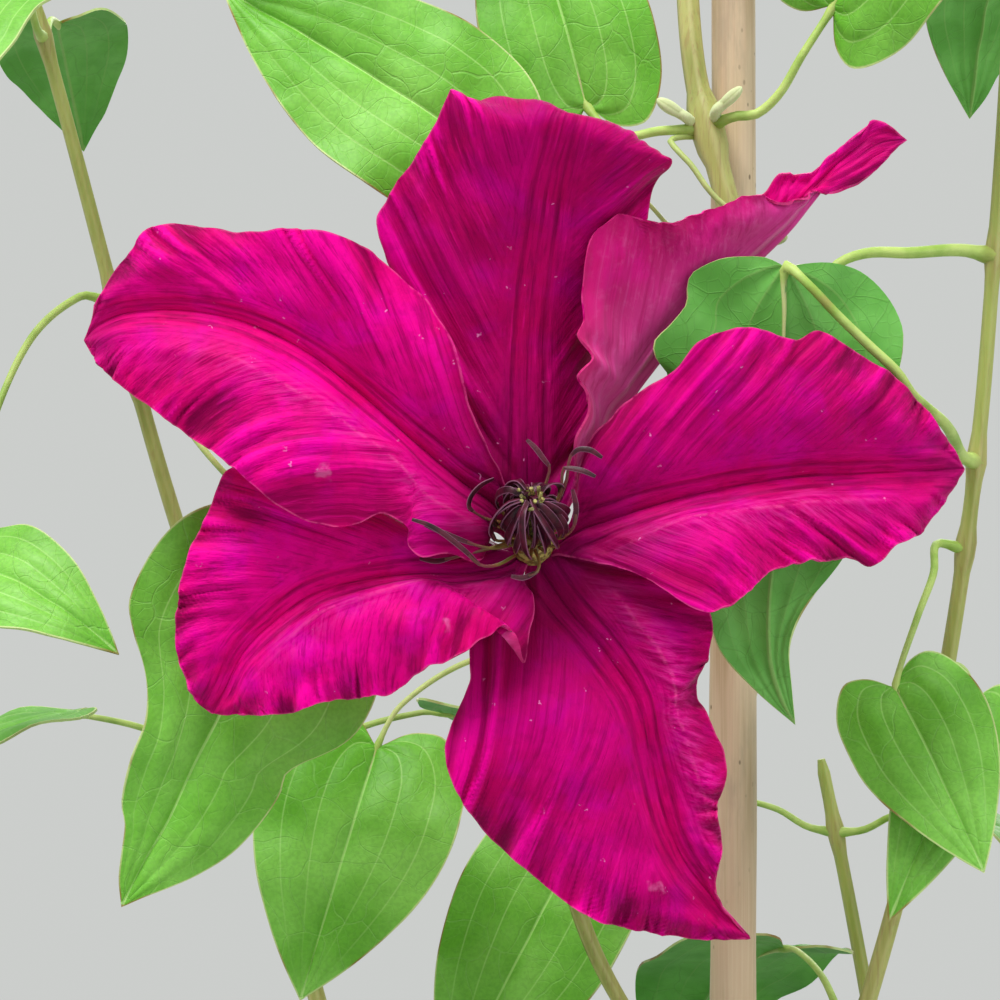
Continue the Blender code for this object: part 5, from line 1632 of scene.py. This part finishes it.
class Tepal:
    """A thin tepal, grooved along its rib, full on both sides of it, and crimped at its margins."""

    def __init__(self, margins, form, seed):
        left_root, right_root, self.fullness, self.crest, self.painted_shade = form
        lines = []
        for points, degrees in zip(margins, ((left_root + right_root) / 2, left_root, right_root)):
            root = round_axis(degrees, TEPAL_ROOT_RADIUS, TEPAL_ROOT_HEIGHT)
            lines.append(Line([root, *points]))
        self.rib, self.left, self.right = lines
        chance = random.Random(seed)
        self.phase = chance.uniform(0, 6)
        self.pace = chance.uniform(15, 19)
        self.seed = seed * 31.0
        self.rows = {}

    def row(self, share):
        if share not in self.rows:
            ahead = self.rib.at(share + 0.02) - self.rib.at(share - 0.02)
            self.rows[share] = (
                self.rib.at(share), self.left.at(share), self.right.at(share), ahead,
            )
        return self.rows[share]

    def fold(self, share, across, half):
        """How far the ruffles and crimps stand out. They follow the slanted veins."""
        reach = abs(across)
        arm = math.copysign(1.0, across)
        vein = share - VEIN_SLANT * half * reach**VEIN_CURVE
        spot = Vector((vein * 9, arm * 4 + reach, self.seed))
        calm = 0.8 + 1.3 * noise.noise(Vector((vein * 6, arm * 6, self.seed + 3)))
        ruffle = RUFFLE * reach**2.2 * noise.noise(spot * 1.5)
        ripple = RIPPLE * reach**1.6 * math.sin(vein * 92 + 7 * noise.noise(spot)) * calm
        crimp = CRIMP * reach**1.3 * math.sin(vein * 170 + 6 * noise.noise(spot * 2)) * calm
        return (ruffle + ripple + crimp) * min(1.0, half / 5)

    def point(self, share, across):
        """The place on the tepal, and how far it stands out of the tepal's smooth form."""
        reach = abs(across)
        rib, left, right, ahead = self.row(share)
        out = (left if across < 0 else right) - rib
        half = out.length
        up = ahead.cross(out) if across < 0 else out.cross(ahead)
        up = up.normalized() if up.length > 1e-6 else Vector((0, 0, 1))
        bulge = self.fullness * half * math.sin(math.pi * reach)
        wave = WAVE * half * reach**3 * math.sin(self.pace * share + self.phase)
        apart = GROOVE_APART * (1.2 - 0.6 * share)
        groove = 0.0
        for place in (0.0, apart):
            groove += math.exp(-(((reach * half - place) / GROOVE_WIDTH) ** 2))
        groove *= GROOVE_DEPTH * min(1.0, half / 5) * (1.1 - share)
        fold = self.fold(share, across, half)
        dimple = noise.noise(Vector((share * 10, across * 2.6, self.seed + 5)))
        dimple *= DIMPLE * min(1, 3 * reach) * min(1.0, half / 5)
        ends = min(1.0, 5 * share) * min(1.0, 4 * (1 - share))
        crest = math.exp(-(((across * half - self.crest) / CREST_WIDTH) ** 2))
        crest *= CREST_HEIGHT * ends
        arm = math.copysign(1.0, across)
        nick = NICK * noise.noise(Vector((share * 30, arm * 7, self.seed))) * min(1.0, half / 5)
        out = out * (reach + nick * reach**6 / max(half, 1))
        return rib + out + up * (bulge + wave + fold + dimple + crest - groove), fold

    def make(self, name, nodes):
        shape = fresh()
        bmesh.ops.create_grid(shape, x_segments=TEPAL_ROWS, y_segments=TEPAL_COLUMNS, size=1.0)
        lie = shape.verts.layers.float_vector["lie"]
        flat = shape.verts.layers.float_vector["flat"]
        for vert in shape.verts:
            share, across = (vert.co.x + 1) / 2, -vert.co.y
            rib, left, right, _ = self.row(share)
            half = ((left if across < 0 else right) - rib).length
            place, fold = self.point(share, across)
            vert.co = in_bloom(place) * MM
            vert[lie] = (across, share, half)
            # Each point keeps its fold height, which the face paints as highlight on crests and shade
            # in hollows, its crest's place, and its tepal's painted shade.
            vert[flat] = (fold, self.crest, self.painted_shade)
        bmesh.ops.remove_doubles(shape, verts=shape.verts, dist=0.02 * MM)
        made = loose(mesh_of(shape, name))
        for finish in TEPAL_FINISHES:
            made.data.materials.append(finish)
        thick = made.modifiers.new("thickness", "SOLIDIFY")
        thick.thickness = TEPAL_THICKNESS * MM
        thick.offset = 0.0
        thick.material_offset = 1
        piece(name, baked(made), nodes, TEPAL_FINISHES)


for seed, (name, margins) in enumerate(TEPALS.items()):
    Tepal(margins, TEPAL_FORMS[name], seed).make("tepal_" + name, ["bloom_tepals"])


# Stamens. A boss of dark purple anthers that curl inwards over the pale styles, on thin brown
# filaments, with a few stamens that have fallen open round it. All stand on the bloom's core.

BOSS_HEIGHT = 11.5
BOSS_RADIUS = 6.0
ANTHER_RADIUS = 0.58
FILAMENT_RADIUS = 0.23
STYLE_COUNT = 11

# The core as heights along its axis, each with its radius. Then each ring of stamens: how many
# it has, its share of the boss's radius, and how far from the axis their feet stand.
CORE = ((-8.3, 1.8), (-6.0, 2.9), (-3.0, 3.2), (-1.0, 2.9), (0.0, 2.0))
RINGS = ((16, 1.0, 2.2), (14, 0.8, 1.9), (11, 0.58, 1.4), (7, 0.36, 0.9))

# Stamens that have fallen open: the anther from its free end, then the filament to its foot.
OPEN_STAMENS = (
    (((-17.7, -1.2, 12), (-15.5, -1.9, 12), (-13.2, -3.2, 11.6), (-10.2, -5.6, 10.5),
      (-7.8, -7.9, 9)), ((-5.4, -8, 7.6), (-2.6, -6.6, 5))),
    (((-15.9, -2, 11.6), (-12.8, -3.3, 11), (-10.6, -4.2, 10), (-8.7, -4.9, 9)),
     ((-5.9, -5.5, 7), (-2.8, -5, 4.4))),
    (((-16.7, -7, 6.2), (-14.3, -7.4, 6.4), (-12.1, -7, 7)),
     ((-9.4, -6.3, 7.6), (-6, -5.4, 6.4), (-2.8, -4.4, 4))),
    (((-5.7, 4.8, 8.2), (-7.5, 3.9, 8.4), (-9, 2.3, 8.2), (-9.4, 0.7, 7.8), (-8.5, -0.3, 7.4)),
     ((-6.2, -1.3, 6.4), (-2.6, -2, 3.6))),
    (((-0.8, 10.6, 4.6), (0.5, 9.3, 5), (1.7, 7.7, 5.4), (2.6, 6.6, 5.4)),
     ((1.8, 3.4, 4.8), (0.8, -0.6, 3))),
    (((10.3, 7.9, 7.6), (8.6, 9, 7.4), (6.8, 9.1, 7), (5.6, 8.1, 6.6)),
     ((4.9, 4, 6), (2.4, -0.8, 3.4))),
    (((9.3, 5.1, 8), (7.6, 5.9, 7.8), (5.9, 6.3, 7.4), (4.6, 6.4, 7)),
     ((4.2, 3, 6.2), (2.2, -1.2, 3.6))),
    (((5.9, 3.2, 8.6), (6.4, 0.6, 8.8), (6.2, -2, 8.4)), ((4.8, -3.6, 6.6), (2.2, -3.4, 4))),
    (((-3.2, -9.6, 9.4), (-1.4, -9.8, 9.2), (0.6, -9, 8.8)), ((1, -7.4, 7.4), (0.4, -5.8, 5))),
)


def anther_skin():
    finish = Finish("anther", Specular_IOR_Level=0.35)
    ridge = finish.attribute("lie").parts()[0]
    cloud = finish.grain(finish.place(), 1.8, 3.0)
    colour = finish.mix(cloud.step(0.3, 0.7), rgb(34, 2, 14), rgb(84, 6, 38))
    # Painted highlight: pale mauve along the edges of each anther.
    colour = finish.mix(ridge.step(0.6, 1.0) * 0.8, colour, rgb(154, 100, 132))
    relief = finish.bump(finish.grain(finish.place(), 0.3), 0.06)
    return finish.dress(Base_Color=colour, Roughness=0.38 + cloud * 0.2, Normal=relief)


def filament_skin():
    finish = Finish("filament", Specular_IOR_Level=0.4, Subsurface_Weight=0.1)
    along = finish.attribute("lie").parts()[1]
    cloud = finish.grain(finish.place(), 2.4, 3.0)
    colour = finish.mix(cloud.step(0.35, 0.65), rgb(118, 104, 44), rgb(140, 70, 46))
    colour = finish.mix((along + cloud * 3).step(4.0, 8.0) * 0.8, colour, rgb(96, 40, 54))
    return finish.dress(Base_Color=colour, Roughness=0.45 + cloud * 0.1)


def style_skin():
    finish = Finish("style", Specular_IOR_Level=0.4, Subsurface_Weight=0.1)
    cloud = finish.grain(finish.place(), 0.9, 3.0)
    colour = finish.mix(cloud.step(0.4, 0.6), rgb(176, 170, 96), rgb(92, 84, 40))
    return finish.dress(Base_Color=colour, Roughness=0.45 + cloud * 0.1)


STAMEN_FINISHES = [anther_skin(), filament_skin(), style_skin()]


def stamen(shape, foot, free_end, facing, wide):
    """A thread from its foot, and a flat anther on it that ends at its last point."""
    thread = Line([*foot, free_end[0], free_end[1]]).sampled(10)[:9]
    tube(shape, thread, tapered(FILAMENT_RADIUS * 1.2, FILAMENT_RADIUS, 9), 6, 1)
    path = Line(free_end).sampled(13)
    steps = [step / 12 for step in range(13)]
    radii = [wide * (0.35 + 0.65 * math.sin(math.pi * (0.05 + 0.9 * step)) ** 0.6) for step in steps]
    tube(shape, path, radii, 10, 0, 2, 0.3, 0.42, facing)


def stamens():
    chance = random.Random(7)
    shape = fresh()
    core = [in_bloom(round_axis(0, 0, height)) for height, _ in CORE]
    tube(shape, core, [radius for _, radius in CORE], 24, 2)
    for count, full_share, foot_off in RINGS:
        for index in range(count):
            degrees = 360 * (index + chance.uniform(-0.35, 0.35)) / count
            full = BOSS_RADIUS * full_share * chance.uniform(0.82, 1.08)
            height = BOSS_HEIGHT * chance.uniform(0.78, 1.0) * (0.86 + 0.14 * full_share)
            lean = chance.uniform(-24, 24)
            foot = [
                in_bloom(round_axis(degrees, foot_off, -0.8)),
                in_bloom(round_axis(degrees, full * 0.72, height * 0.1)),
            ]
            path = [
                in_bloom(round_axis(degrees + lean * turn, full * off, height * rise))
                for turn, off, rise in (
                    (0, 0.92, 0.22), (0.3, 1.0, 0.46), (0.6, 0.86, 0.74), (1.0, 0.52, 0.96),
                    (1.3, chance.uniform(0.1, 0.32), chance.uniform(0.88, 1.0)),
                )
            ]
            outwards = path[1] - in_bloom(round_axis(0, 0, height * 0.46))
            facing = outwards.cross(path[2] - path[1]) + outwards * chance.uniform(-4, 4)
            stamen(shape, foot, path, facing, ANTHER_RADIUS * chance.uniform(0.8, 1.15))
    for anther, thread in OPEN_STAMENS:
        path = [in_bloom(Vector(point)) for point in anther][::-1]
        foot = [in_bloom(Vector(point)) for point in thread][::-1]
        stamen(shape, foot, path, (path[1] - path[0]).cross(Vector((0, -1, 0.4))), 0.4)
    for index in range(STYLE_COUNT):
        degrees = 360 * index / STYLE_COUNT
        off = chance.uniform(0.5, 1.9)
        points = [
            in_bloom(round_axis(degrees + turn, off * share, height))
            for turn, share, height in ((0, 0.6, 0), (0, 1, 6), (20, 0.9, 9.2), (50, 1.2, 11.0))
        ]
        tube(shape, Line(points).sampled(10), tapered(0.42, 0.3, 10), 6, 2)
    piece("stamens", mesh_of(shape, "stamens"), ["bloom_stamens"], STAMEN_FINISHES)


stamens()
